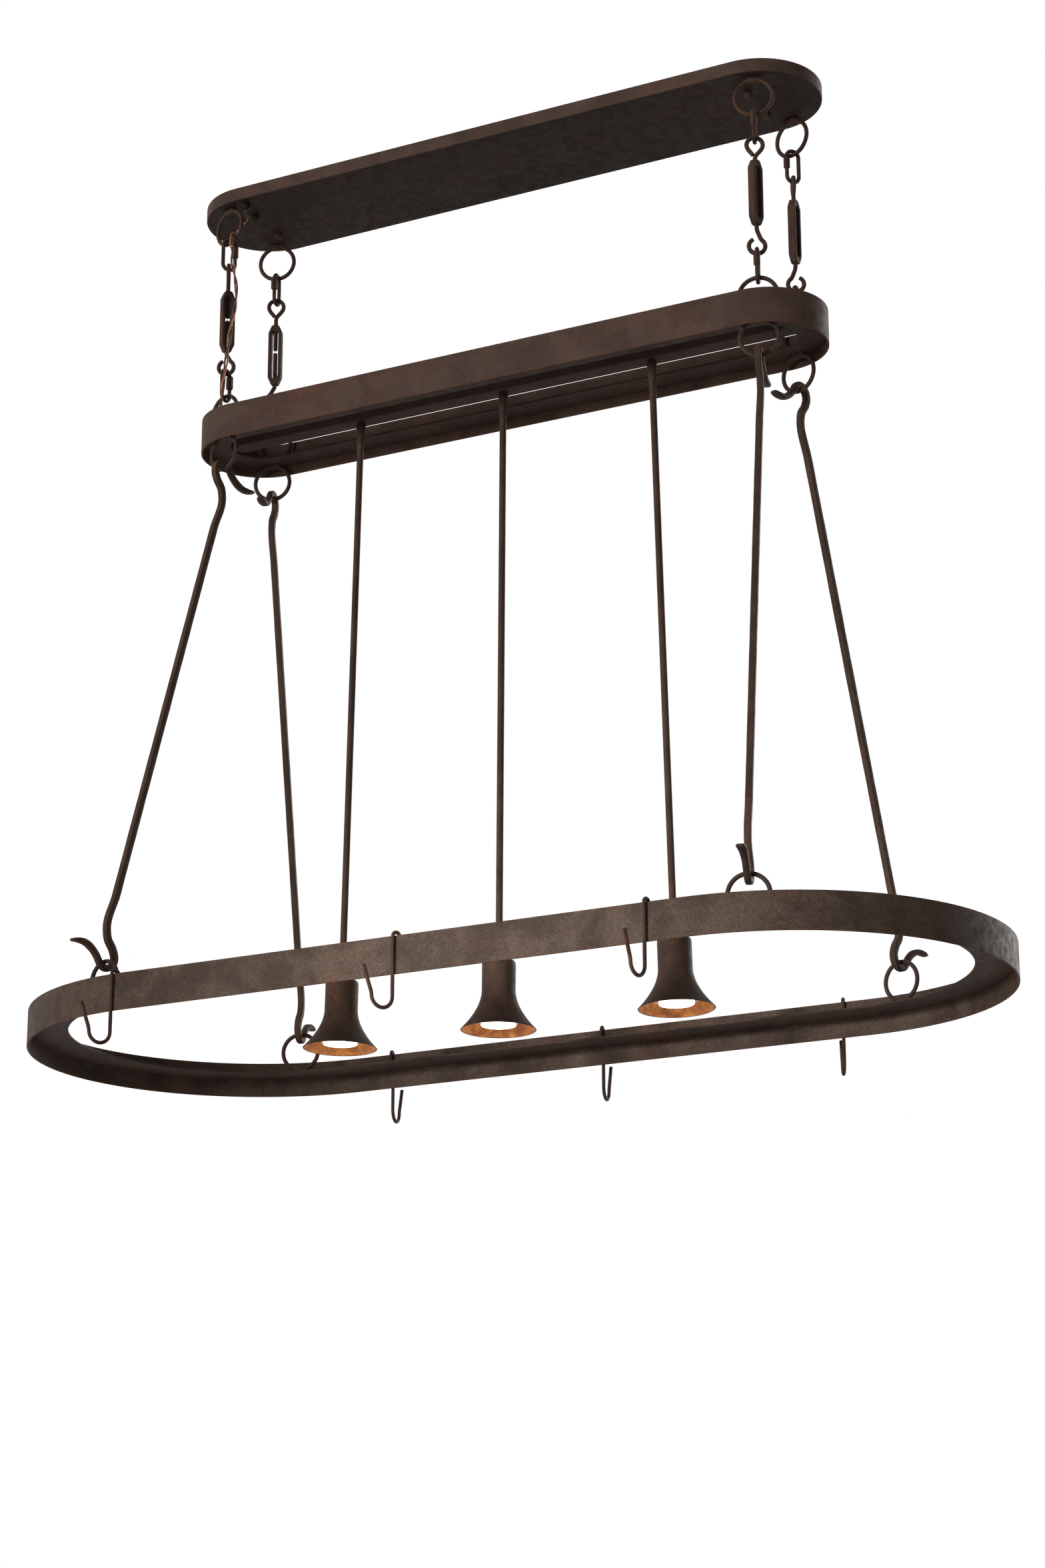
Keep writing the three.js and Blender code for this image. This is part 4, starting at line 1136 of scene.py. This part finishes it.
    def closed_eye(self, neck: float) -> Array:
        """The middle line of an eye that closes on its own neck, with the shank upwards.

        Args:
            neck: The shank that shows above the eye.

        Returns:
            The line's points.
        """
        start = in_plane(*self.closed_neck) * MM
        top = self.eye_reach + neck + self.overlap
        shank = in_plane((0, top), (0, (top + start[0, 2]) / 2))
        eye = arc(0, 0, self.eye_radius, *self.closed_turn, 18)
        return np.concatenate([shank, start, eye, in_plane(*self.closed_tip) * MM])

    def open_eye(self, neck: float) -> Array:
        """The middle line of an eye that stays open, with the shank upwards.

        Args:
            neck: The shank that shows above the eye.

        Returns:
            The line's points.
        """
        shank = in_plane((0, self.eye_reach + neck + 3 * self.overlap))
        start = in_plane(*[(x * MM, self.eye_reach + share * neck) for x, share in self.open_neck])
        return np.concatenate([shank, start, arc(0, 0, self.eye_radius, *self.open_turn, 20)])

    def eye_bolt(self, line: Array, neck: float, shank_end: float) -> Form:
        """An eye bolt with its eye about the origin and its shank upwards.

        Args:
            line: The wire's middle line.
            neck: The shank that shows above the eye.
            shank_end: The height of the shank's free end.

        Returns:
            The eye bolt.
        """
        path = smooth_path(line, 1.2 * MM)
        size = np.interp(np.linspace(0, 1, len(path)), *np.transpose(self.swell))
        loop = flat_bar(path, round_section(self.eye_wire / 2)[None] * size[:, None, None], dome=1.1 * MM)
        return loop + self.threaded(self.eye_reach + neck - self.overlap / 2, shank_end)

    def turnbuckle(self) -> Form:
        """The body: a loop of soft bar between the window's outline and the body's outline.

        The outer line has straight sides and tapered ends. Its partner on the window lies one radius
        from the nearest point of the window's middle line, and a soft box spans the two.

        Returns:
            The body about the origin.
        """
        length, width, depth = self.body
        straight = length / 2 - self.taper
        end, side = self.end_width / 2, width / 2
        right = np.array([(end, -length / 2), (side, -straight), (side, straight), (end, length / 2)])
        line = softened(np.concatenate([right, -right]), self.ease, 4)
        outer = even_steps(in_plane(*line, line[0]), 1.1 * MM)[:-1]
        run, radius = (self.window[0] - self.window[1]) / 2, self.window[1] / 2
        core = UP * np.clip(outer[:, 2:], -run, run)
        way = unit(outer - core)
        inner = core + radius * way
        past = np.clip((np.abs(outer[:, 2]) - straight) / self.taper, 0, 1)
        half_bar = np.linalg.norm(outer - inner, axis=1) / 2
        section = soft_box(half_bar, depth / 2 * (1 - self.end_thinner * past), self.bar_corner)
        grid = (inner + outer)[:, None] / 2 + section[..., :1] * way[:, None] + section[..., 1:] * ACROSS
        return Form.on_grid(grid, wrap_rows=True)

    def build(self, shop: Workshop) -> None:
        """Makes the chain's five pieces.

        Args:
            shop: The workshop.
        """
        upper_link, upper_eye, lower_eye, lower_link = self.heights()
        lower_neck = self.necks - self.upper_neck
        body_z = upper_eye - self.eye_reach - self.upper_neck - self.body[0] / 2
        gap_z = body_z + self.gap_rise
        upper_end = upper_eye - gap_z - self.shank_gap / 2
        lower_end = gap_z - self.shank_gap / 2 - lower_eye
        upper_bolt = self.eye_bolt(self.closed_eye(self.upper_neck), self.upper_neck, upper_end)
        upside_down = Matrix.Scale(-1, 4, (0, 0, 1))
        made = [
            ("upper_link", self.quick_link(), upper_link),
            ("upper_eye_bolt", upper_bolt.placed(upside_down), upper_eye),
            ("turnbuckle_body", self.turnbuckle(), body_z),
            ("lower_eye_bolt", self.eye_bolt(self.open_eye(lower_neck), lower_neck, lower_end), lower_eye),
            ("lower_link", self.quick_link(), lower_link),
        ]
        for (name, form, z), turn in zip(made, self.turns):
            node = f"{name}_{self.corner.key}"
            form = form.placed(stand_at(*self.corner.at(CHAIN_X, CHAIN_Y), z, turn))
            shop.put(f"forged_{node}", form, [shop.paints.wire], node, [node])


class Tier(Enum):
    """The two oval frames."""

    MIDDLE = "middle"
    LOWER = "lower"


@dataclass
class OvalFrame:
    """An upright oval band with a flat inner flange and its rings."""

    tier: Tier
    length: float
    width: float
    band_top: float
    band_height: float
    flange_top: float
    flange_width: float
    rings: tuple  # (x, y, z, side of the weld), for the back right corner

    def hoop(self, inset: float, wall: float, top: float, depth: float, ease: float) -> Form:
        """A box outline with eased edges, carried round the oval.

        Args:
            inset: How far it lies inside the band's outside.
            wall: Its thickness inwards.
            top: The height of its top.
            depth: Its own height.
            ease: The reach of its eased edges.

        Returns:
            The hoop.
        """
        outline = np.array([(0, top - depth), (0, top), (-wall, top), (-wall, top - depth)])
        return round_oval(self.length - 2 * inset, self.width - 2 * inset, softened(outline, ease), 28, 72)

    def band(self) -> Form:
        """The band of flat bar."""
        return self.hoop(0, BAND_SHEET, self.band_top, self.band_height, 0.8 * MM)

    def flange(self) -> Form:
        """The flat flange inside the band, and the rings welded to it.

        Returns:
            The flange.
        """
        form = self.hoop(BAND_SHEET + TOUCH, self.flange_width, self.flange_top, FLANGE_SHEET, 0.7 * MM)
        for corner in Corner:
            for x, y, z, side in self.rings:
                form += WireRing().at(corner, x, y, z, side)
        return form

    def build(self, shop: Workshop) -> None:
        """Makes the band and the flange.

        Args:
            shop: The workshop.
        """
        name, body = self.tier.value, f"{self.tier.value}_frame"
        paint = getattr(shop.paints, f"{name}_band")
        shop.put(f"{name}_oval_band", self.band(), [paint], body, [f"{name}_band"])
        flange, paint = self.flange(), shop.paints.flange
        shop.put(f"{name}_ringed_flange", flange, [paint], body, [f"{name}_flange"])


@dataclass
class Pendants:
    """The wireway with its three stems, shades, lampholders and lamps."""

    pitch: float = 247 * MM
    leans: tuple = (("left", -1, -1.29), ("middle", 0, -0.47), ("right", 1, 1.41))  # degrees out of plumb
    base: float = MID_FLANGE_TOP + TOUCH
    trough: tuple = (980 * MM, 29.5 * MM, 22 * MM)
    trough_bend: float = 2.2 * MM
    sheet: float = 1.6 * MM
    stem: float = 877 * MM
    thread: float = 12 * MM  # of the stem, inside the shade
    height: float = 101 * MM
    rim: float = 54.1 * MM
    neck: float = 24.2 * MM
    flare: float = 57 * MM
    power: float = 1.85
    shoulder_bend: float = 6 * MM
    hole: float = 5 * MM
    wall: float = 1.2 * MM
    holder: float = 56 * MM  # the lampholder's height
    inset: float = 6 * MM  # of the lamp's rim above the shade's
    clip: tuple = (13 * MM, 8 * MM, 1.2 * MM)
    clip_place: tuple = (28 * MM, 3.5 * MM, -16)  # from the axis, above the lamp's rim, and tilt
    clip_turns: tuple = (28, 206)  # degrees

    def wireway(self) -> Form:
        """The channel: a U outline of its sheet along X, with its cut ends closed.

        Returns:
            The channel.
        """
        length, w, h = self.trough
        s = self.sheet
        corners = np.array([(-w / 2, h), (-w / 2, 0), (w / 2, 0), (w / 2, h)])
        bends = softened(corners, self.trough_bend)[4:12]
        outer = np.concatenate([corners[:1], bends, corners[-1:]])
        inner_bends = bends * (1 - 2 * s / w, 1 - s / h) + (0, s)
        inner = np.concatenate([[(s - w / 2, h)], inner_bends, [(w / 2 - s, h)]])
        places = np.linspace(-length / 2, length / 2, 25)
        outside, inside = along_x(outer, places), along_x(inner, places)
        form = Form.on_grid(outside, wrap_cols=False) + Form.on_grid(inside, wrap_cols=False)
        for at in (0, -1):
            form += Form.on_grid(np.stack([outside[at], inside[at]]), wrap_cols=False)
            form += Form.on_grid(np.stack([outside[:, at], inside[:, at]]), wrap_cols=False)
        return form.placed(stand_at(0, 0, self.base))

    def stem_form(self) -> Form:
        """The stem: a long tube with its lock nut, washer and stepped collar, as (radius, height).

        Returns:
            The stem, with the wireway's underside at height 0.
        """
        foot, end = -self.stem / MM, -(self.stem + self.thread) / MM
        nut = [(0, 2.2), (7.4, 2.2), (8, 2.7), (8, 6.7), (7.4, 7.2), (0, 7.2)]
        washer = [(4.7, -0.6), (6.4, -0.6), (6.8, -1.0), (6.8, -3.2), (6.4, -3.6)]
        collar = [(6.9, -3.8), (7.2, -4.4), (7.2, -9.5), (6.9, -10.4), (6.3, -11.2), (6.25, -30.8)]
        tube = [(5.9, -31.5), (5.0, -31.8), (5.0, foot + 1), (4.7, foot + 0.6), (4.7, end), (0, end)]
        line = np.array([(0, 8.0), (4.7, 8.0), *washer, *collar, *tube])
        return turned(line * MM, 28) + hexagonal(np.array(nut) * MM)

    def shoulder(self, inward: float) -> Array:
        """The quarter circle between the shade's neck and its top, moved inward."""
        bend = self.shoulder_bend
        return arc(self.neck - bend, self.height - bend, bend - inward, 0, 90, 7)[:, ::2]

    def shade_form(self) -> Form:
        """The bell: outside in bronze, inside in a coppery paint that is painted lamplight.

        Its outer radius at height h is neck + (rim - neck) * (1 - h / flare) ^ power, and the
        inside lies one wall in from it.

        Returns:
            The shade, with its rim at height 0.
        """
        h = np.linspace(0, 1, 28) ** 1.15 * self.flare
        left = 1 - h / self.flare
        r = self.neck + (self.rim - self.neck) * left**self.power
        slope = (self.rim - self.neck) * self.power * left ** (self.power - 1) / self.flare
        top = np.array([(self.hole + 4 * MM, self.height), (self.hole, self.height)])
        outside = np.concatenate([np.stack([r, h], -1), self.shoulder(0), top])
        inner = np.stack([r - self.wall * np.hypot(1, slope), h], -1)
        inside = np.concatenate([top[::-1] - (0, self.wall), self.shoulder(self.wall)[::-1], inner[::-1]])
        lip_out, lip_in = outside[0], inside[-1]
        lip = np.array([lip_in, (lip_in + lip_out) / 2 - (0, 0.5 * MM), lip_out])
        hub = np.array([outside[-1], inside[0]])
        bronze = turned(np.concatenate([lip, outside[1:]]), 72) + turned(hub, 72)
        return bronze + turned(inside, 72, finish=1)

    def socket_form(self) -> Form:
        """The lampholder: a porcelain barrel with a groove and a chamfered mouth, as (radius, height).

        Returns:
            The lampholder, with the shade's rim at height 0.
        """
        top = self.height / MM - 1.5
        foot = top - self.holder / MM
        barrel = [(0, top), (15.8, top), (17, top - 1.2), (17, foot + 14)]
        groove = [(16.2, foot + 13.4), (16.2, foot + 11.6), (17, foot + 11)]
        mouth = [(17, foot + 1), (16.2, foot), (13.6, foot), (13.4, foot + 4), (0, foot + 4)]
        return turned(np.array([*barrel, *groove, *mouth]) * MM, 40)

    def lamp_form(self) -> Form:
        """The reflector lamp: a lit lens, its lit rim, a ribbed bowl and two clips.

        Returns:
            The lamp, with the shade's rim at height 0 and the lens, bowl and rim as finishes 0, 1 and 2.
        """
        lens = [(0, 0.2), (8, 0.25), (16, 0.5), (22.3, 1.1)]  # radius and height above the lamp's rim
        rim = [(22.3, 1.1), (22.6, 0), (24.4, 0), (25, 0.7), (25, 4.6), (24.4, 5.4)]
        bowl = [(24.4, 5.4), (22.6, 12), (19, 21), (14.6, 29), (13, 32), (13, 53.4), (12.4, 54), (0, 54)]
        form = turned(np.array(lens) * MM, 48) + turned(np.array(rim) * MM, 48, 2)
        sides, ribs, depth = 96, 16, 0.02
        form += turned(np.array(bowl) * MM, sides, 1, ribbed(sides, ribs, depth))
        out, rise, tilt = self.clip_place
        for turn in self.clip_turns:
            clip = pebble(self.clip, 0.3).placed(stand_at(out, 0, 0, 0, tilt))
            clip.finish += 1
            form += clip.placed(stand_at(0, 0, rise, turn))
        return form.placed(stand_at(0, 0, self.inset))

    def build(self, shop: Workshop) -> None:
        """Makes the wireway and the three pendants.

        Args:
            shop: The workshop.
        """
        paints = shop.paints
        lit = [paints.glow, paints.glass, paints.rim_glow]
        shop.put("wireway_channel", self.wireway(), [paints.flange], "middle_frame", ["wireway"])
        kinds = [
            ("pendant_stem", "stem", self.stem_form(), [paints.rod], Slot.BRONZE),
            # The shade's inside takes the coppery paint with painted lamplight.
            ("bell_shade", "shade", self.shade_form(), [paints.shade, paints.copper], Slot.BRONZE),
            ("lampholder", "lamp_socket", self.socket_form(), [paints.porcelain], Slot.SOCKET),
            ("reflector_lamp", "lamp", self.lamp_form(), lit, Slot.LAMP),
        ]
        for name, step, lean in self.leans:
            here = stand_at(step * self.pitch, 0, self.base, 0, -lean)
            down = here @ stand_at(0, 0, -self.stem - self.height)
            for label, node, form, finishes, slot in kinds:
                placed = form.placed(here if node == "stem" else down)
                shop.put(f"{label}_{name}", placed, finishes, "middle_frame", [f"{node}_{name}"])


@dataclass
class ForgedRod:
    """A square rod with a hook and a flattened tail at each end."""

    corner: Corner
    side: float = 9.6 * MM
    bowl: float = 15 * MM
    offset: float = 11 * MM  # of the bowl's middle from the straight
    rise: float = 54 * MM
    bend: tuple = ((0, 1), (0.2, 0.8), (0.72, 0.58), (0.97, 0.39))  # shares of the bowl's side and the rise
    tail: tuple = ((6, 10), (19, 17), (31, 19.5), (43, 17.5), (54, 13))  # mm across and along
    bowl_turn: tuple = (180, 310)  # degrees, from the bend to the tail
    top: float = UNDER_RING_Z - RING_REACH
    foot: float = LOW_RING_Z + RING_REACH
    waves: tuple = ((0.012, 61, 1.1), (0.008, 143, 2))  # share, radians to a metre and start
    # Shares of the rod's side at distances from a tail's tip, in mm
    thick: tuple = ((0, 0.42), (6, 0.5), (18, 0.72), (34, 1.0))
    wide: tuple = ((0, 1.02), (4, 1.3), (12, 1.38), (24, 1.18), (40, 1.0))
    soft: tuple = ((0, 0.42), (20, 0.34), (60, 0.3), (90, 0.17))

    def hook_line(self) -> Array:
        """The lower hook's middle line, from the straight to the tail's tip, lowest point at height 0.

        Returns:
            The line's points.
        """
        side = -self.offset - self.bowl
        bend = in_plane(*[(x * side, z * self.rise) for x, z in self.bend], (side, self.bowl))
        bowl = arc(-self.offset, self.bowl, self.bowl, *self.bowl_turn, 8)[1:]
        return np.concatenate([bend, bowl, in_plane(*self.tail) * MM])

    def form(self) -> Form:
        """The rod: a soft square carried along its line, flattened and widened at both tails.

        Returns:
            The rod between its two rings.
        """
        run_x, run_y = self.corner.at(FOOT_X - CHAIN_X, FOOT_Y - CHAIN_Y)
        drop = self.top - self.foot
        reach = math.hypot(run_x, run_y)
        along = math.sqrt(math.hypot(reach, drop) ** 2 - (2 * self.offset) ** 2)
        lean = math.atan2(reach, drop) + math.atan2(2 * self.offset, along)
        seat = (RING_WIRE + self.side) / 2 + WIRE_GAP + self.side / 2 * math.tan(math.pi / 16)
        lower = self.hook_line() + UP * (-along / 2 - seat)
        upper = (lower * np.array([-1, 1, -1]))[::-1]
        shaft = np.linspace(upper[-1], lower[0], 14)[1:-1]
        line = smooth_path(np.concatenate([upper, shaft, lower]), 2.2 * MM)
        run = run_along(line)
        tip = np.minimum(run, run[-1] - run) / MM
        wobble = 1 + sum(share * np.sin(run * pace + start) for share, pace, start in self.waves)
        thick = np.interp(tip, *np.transpose(self.thick)) * wobble
        wide = np.interp(tip, *np.transpose(self.wide)) * wobble
        soft = np.interp(tip, *np.transpose(self.soft))
        half = self.side / 2
        section = soft_box(half * thick, half * wide, half * 2 * soft * np.minimum(thick, wide), 4)
        x, y = self.corner.at((CHAIN_X + FOOT_X) / 2, (CHAIN_Y + FOOT_Y) / 2)
        turn = math.degrees(math.atan2(run_y, run_x))
        place = stand_at(x, y, self.top - drop / 2, turn, -math.degrees(lean))
        return flat_bar(line, section, dome=2.0 * MM).placed(place)

    def build(self, shop: Workshop) -> None:
        """Makes the rod."""
        node = f"rod_{self.corner.key}"
        shop.put(f"forged_{node}", self.form(), [shop.paints.rod], node, [node], 50)


@dataclass
class PotHooks:
    """The six loose hooks over the lower band's top edge."""

    # Place along the rack in mm, side across it, and turn in degrees
    places: tuple = ((-445, -1, -27), (8, -1, -27), (379, -1, -8), (-366, 1, 12), (-2, 1, 12), (388, 1, 27))
    wire: float = 5.2 * MM
    crown: float = 5.4 * MM
    lift: float = 4.5 * MM  # of the crown's wire above the band's edge
    short_leg: float = 12 * MM
    long_leg: float = 84 * MM
    bowl: float = 16.5 * MM
    tip: tuple = (55 * MM, 13 * MM)  # height above the bowl's foot, and lean
    tip_bend: tuple = (0.6, 0.42)  # shares of both, where the tip bends outwards
    uneven: tuple = (0.015, 31)  # share by which the wire's thickness varies, and radians of its waves
    ease: float = 0.3 * MM

    def half_width(self, x: float) -> float:
        """Half the width across the hooks at a place along the rack.

        It is the band's middle line, less a little on the bend, where a straight slide leads outwards.

        Args:
            x: The place along the rack.

        Returns:
            Half the width.
        """
        radius = (LOW_WIDTH - BAND_SHEET) / 2
        past = max(0.0, abs(x) - (LOW_LENGTH - LOW_WIDTH) / 2)
        return math.sqrt(radius**2 - past**2) - (self.ease if past else 0.0)

    def form(self) -> Form:
        """A hook: a crown over the band, a long leg, a wide bowl and a leaning tip.

        Returns:
            The hook, with the band's top edge at the origin.
        """
        crown_z = self.lift - self.crown
        x, z = self.crown + self.bowl, crown_z - self.long_leg
        right, foot = x + self.bowl, z - self.bowl
        height, lean = self.tip
        part_up, part_out = self.tip_bend
        shares = np.linspace(0.06, 0.94, 8)
        line = smooth_path(np.concatenate([
            in_plane((-self.crown, crown_z - self.short_leg), (-self.crown, crown_z - 0.5 * self.short_leg)),
            arc(0, crown_z, self.crown, 180, 0, 10),
            in_plane(*[(self.crown, crown_z - share * self.long_leg) for share in shares]),
            arc(x, z, self.bowl, 180, 360, 14),
            in_plane((right + part_out * lean, foot + part_up * height), (right + lean, foot + height)),
        ]), 1.6 * MM)
        share, radians = self.uneven
        size = 1 + share * np.sin(np.linspace(0, radians, len(line)))
        return flat_bar(line, round_section(self.wire / 2, 14)[None] * size[:, None, None], dome=0.9 * MM)

    def build(self, shop: Workshop) -> None:
        """Makes the six hooks.

        Args:
            shop: The workshop.
        """
        for number, (x, side, turn) in enumerate(self.places, 1):
            y = side * self.half_width(x * MM)
            form = self.form().placed(stand_at(x * MM, y, LOW_BAND_TOP, side * 90 + turn))
            node = f"pot_hook_{number}"
            shop.put(f"bent_{node}", form, [shop.paints.wire], node, [node])


@dataclass
class SupplyCord:
    """The twisted two-wire cord down the front left chain, in a piece for each joint that it crosses."""

    diameter: float = 6 * MM
    pitch: float = 84 * MM  # of the twist
    gape: float = 170 * MM  # between the places where the pair gapes
    sides: int = 12
    aside: tuple = (0.31, 0.94, 0.12)  # a direction that the cord never takes
    route: tuple = (
        (-417, -77, -31.2), (-417, -77, -35), (-419, -71, -42), (-428, -68.5, -49), (-433, -70.5, -56),
        (-434.3, -76, -64), (-436, -84, -73), (-436.5, -85.5, -86), (-435.3, -84.5, -102),
        (-433.3, -86.5, -117), (-430.5, -88, -132), (-426, -89, -152), (-423.2, -89, -177),
        (-424.6, -89, -200), (-428.9, -89, -222), (-433, -89, -243), (-435, -89.5, -263), (-437, -90, -284),
        (-439.2, -91, -306), (-441.1, -91, -324), (-444.5, -88.5, -340), (-450, -82, -355),
        (-456.5, -77.6, -371), (-463, -75.8, -386), (-470, -73.2, -395), (-478, -66.5, -395.8),
        (-487, -56, -395.8), (-495, -43, -395.8), (-500, -28, -395.8), (-500.5, -15, -395.5),
        (-494, -4, -394.4), (-482, 0, -393.8), (-466, 0, -393.8), (-446, 0, -393.8),
    )  # mm
    phase: float = 0.4  # the angle at which the brown wire starts
    lying: float = -385 * MM  # the height below which it lies on the middle frame
    cuts: tuple = (-97, -150, -270, -320)  # heights between the pieces, in mm
    # Heights in mm between which each piece bends from one body to the next
    bends: tuple = ((-45, -90), (-104, -143), (-160, -262), (-277, -313), (-326, -358))
    bodies: tuple = (
        "root", "upper_link_fl", "upper_eye_bolt_fl", "lower_eye_bolt_fl", "lower_link_fl", "middle_frame"
    )

    def strand(self, line: Array, run: Array, phase: float, finish: int) -> Form:
        """One wire of the pair, wound round the cord's middle line.

        point = line + s * d/4 * (cos p * side + sin p * over) + r * (cos a * side + sin a * over), with
        p = phase + 2 pi * run / pitch. Side and over are square to the line, and s, from 1 to 1.4,
        lets the pair gape slowly.

        Args:
            line: The cord's middle line.
            run: The length along the whole cord at each point.
            phase: The angle at which it starts.
            finish: The finish number.

        Returns:
            The wire.
        """
        along = unit(np.gradient(line, axis=0))
        side = unit(np.cross(along, np.array(self.aside)))
        over = np.cross(along, side)
        turn = (phase + 2 * np.pi * run / self.pitch)[:, None]
        spread = (1.2 - 0.2 * np.cos(2 * np.pi * run / self.gape))[:, None]
        core = line + spread * self.diameter / 4 * (np.cos(turn) * side + np.sin(turn) * over)
        section = round_section(self.diameter / 4 * 0.98, self.sides)[None]
        grid = core[:, None] + section[..., :1] * side[:, None] + section[..., 1:] * over[:, None]
        ends = [np.repeat(core[k][None, None], self.sides, 1) for k in (0, -1)]
        return Form.on_grid(np.concatenate([ends[0], grid, ends[1]]), finish=finish)

    def build(self, shop: Workshop) -> None:
        """Args:
            shop: The workshop.
        """
        whole = smooth_path(np.array(self.route) * MM, 1.5 * MM)
        run = run_along(whole)
        falling = whole[: int(np.argmax(whole[:, 2] < self.lying)), 2]
        marks = [0, *[int(np.argmax(falling < cut * MM)) for cut in self.cuts], len(whole) - 1]
        finishes = [shop.paints.brown_wire, shop.paints.copper_wire]
        for k, (start, stop) in enumerate(zip(marks[:-1], marks[1:])):
            line, part = whole[start : stop + 1], run[start : stop + 1]
            form = self.strand(line, part, self.phase, 0) + self.strand(line, part, self.phase + np.pi, 1)
            piece = shop.put(f"supply_cord_{k + 1}", form, finishes, "", ["supply_cord"])
            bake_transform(piece)


# ---------------------------------------------------------------- studio
def facing(place: Sequence[float], side: Array, over: Array) -> Matrix:
    """The place of a camera or a lamp, which looks away from side x over.

    Args:
        place: Where it stands.
        side: The direction of its right.
        over: The direction of its top.

    Returns:
        The 4 x 4 matrix.
    """
    turn = Matrix(np.stack([side, over, np.cross(side, over)], -1).tolist()).to_4x4()
    return Matrix.Translation(place) @ turn


class LampKind(Enum):
    """The kinds of lamp, each with the setting that holds its size."""

    SUN = "angle"
    SPOT = "spot_size"
    AREA = "size"


@dataclass(frozen=True)
class Lamp:
    """One lamp of the studio."""

    name: str
    kind: LampKind
    place: tuple
    aim: tuple
    power: float
    size: float  # a sun's or a spot's angle in radians, or an area's side
    softness: float = 0.25  # a spot's radius

    def build(self) -> None:
        """Makes the lamp and turns it to its aim."""
        data = bpy.data.lights.new(self.name, self.kind.name)
        data.energy = self.power
        setattr(data, self.kind.value, self.size)
        if self.kind is LampKind.SPOT:
            data.spot_blend, data.shadow_soft_size = 1.0, self.softness
        back = unit(np.array(self.place) - np.array(self.aim))
        side = unit(np.cross(UP, back))
        set_out(self.name, data).matrix_world = facing(self.place, side, np.cross(back, side))


@dataclass
class Studio:
    """The camera, the floor and the lights."""

    eye: tuple = (2.14776, -4.05033, -2.41816)
    right: tuple = (0.88601156, 0.46365895, -0.00197639)
    up: tuple = (0.13746992, -0.25861727, 0.95614807)
    focal: float = 4964.26  # in the picture's pixels
    picture_height: float = 2352
    sensor: float = 36.0
    floor: float = -2.75
    floor_half: float = 14.0
    sky: float = 0.08
    floor_glow: float = 0.6
    lamps: tuple = (
        Lamp("key", LampKind.SUN, (-1.2, -3.0, -0.5), (0, 0, -0.6), 2.0, 0.35),
        Lamp("back", LampKind.SUN, (0.9, 3.0, 0.1), (0, 0, -0.6), 1.5, 0.5),
        Lamp("belt", LampKind.SPOT, (-0.2, -3.2, -0.95), (0.1, -0.32, -1.34), 290.0, 0.37),
        Lamp("bounce", LampKind.AREA, (0, -1.2, -2.65), (0, 0, -0.2), 8.0, 2.0),
    )

    def camera(self) -> None:
        """Places the camera at the photograph's viewing angle."""
        data = bpy.data.cameras.new("camera")
        data.sensor_width, data.clip_end = self.sensor, 100
        data.lens = self.focal / self.picture_height * self.sensor
        obj = set_out("camera", data)
        obj.matrix_world = facing(self.eye, np.array(self.right), np.array(self.up))
        bpy.context.scene.camera = obj

    def ground(self) -> None:
        """A plain pale floor, whose glow only the rays that see the background meet."""
        coat = Coat("pale_floor")
        material = coat.painted({
            "Base Color": (0.72, 0.71, 0.7, 1),
            "Roughness": 0.9,
            "Emission Color": coat.mix(coat.seen(), BLACK, WHITE),
            "Emission Strength": self.floor_glow,
        })
        mesh = bpy.data.meshes.new("floor")
        corners = np.array([(-1, -1), (1, -1), (1, 1), (-1, 1)]) * self.floor_half
        mesh.from_pydata([(x, y, self.floor) for x, y in corners], [], [(0, 1, 2, 3)])
        mesh.materials.append(material)
        set_out("floor", mesh)

    def sky_light(self) -> None:
        """A white world behind the object and a dimmer one that lights it."""
        world = bpy.data.worlds.new("studio")
        bpy.context.scene.world = world
        world.use_nodes = True
        bench = Bench(world.node_tree)
        dim, white = (
            bench.node("ShaderNodeBackground", {}, {"Color": WHITE, "Strength": strength}).outputs[0]
            for strength in (self.sky, 1.0)
        )
        sky = bench.node("ShaderNodeMixShader", {}, {0: bench.seen(), 1: dim, 2: white})
        bench.node("ShaderNodeOutputWorld", {}, {"Surface": sky.outputs[0]})

    def build(self) -> None:
        """Sets up the studio."""
        bpy.context.scene.view_settings.view_transform = "Standard"
        self.camera()
        self.ground()
        self.sky_light()
        for lamp in self.lamps:
            lamp.build()
        LOG.info("studio ready")


def main() -> None:
    """Builds the studio, the cord and every sub-assembly."""
    logging.basicConfig(level=logging.INFO, format="%(name)s %(message)s")
    Studio().build()
    shop = Workshop(Paints())
    SupplyCord().build(shop)
    CeilingPan().build(shop)
    Chain(Corner.FL, (50, 122, 57, 20, 86), upper_neck=17.5 * MM, gap_rise=4 * MM).build(shop)
    Chain(Corner.FR, (288, 27, 75, 27, 288), upper_neck=9.5 * MM, gap_rise=0.0).build(shop)
    Chain(Corner.BL, (279, 27, 14, 204, 298), upper_neck=17.5 * MM, gap_rise=6 * MM).build(shop)
    Chain(Corner.BR, (230, 118, 87, 204, 92), upper_neck=9.5 * MM, gap_rise=0.0).build(shop)
    OvalFrame(
        Tier.MIDDLE, length=1042 * MM, width=180.5 * MM, band_top=MID_BAND_TOP, band_height=MID_BAND_HEIGHT,
        flange_top=MID_FLANGE_TOP, flange_width=42.3 * MM,
        rings=((CHAIN_X, CHAIN_Y, MID_RING_Z, -1), (CHAIN_X, CHAIN_Y, UNDER_RING_Z, 1)),
    ).build(shop)
    Pendants().build(shop)
    for corner in Corner:
        ForgedRod(corner).build(shop)
    OvalFrame(
        Tier.LOWER, length=LOW_LENGTH, width=LOW_WIDTH, band_top=LOW_BAND_TOP, band_height=LOW_BAND_HEIGHT,
        flange_top=LOW_FLANGE_TOP, flange_width=56 * MM, rings=((FOOT_X, FOOT_Y, LOW_RING_Z, -1),),
    ).build(shop)
    PotHooks().build(shop)
    LOG.info("%d pieces made", shop.made)


if __name__ == "__main__":
    main()
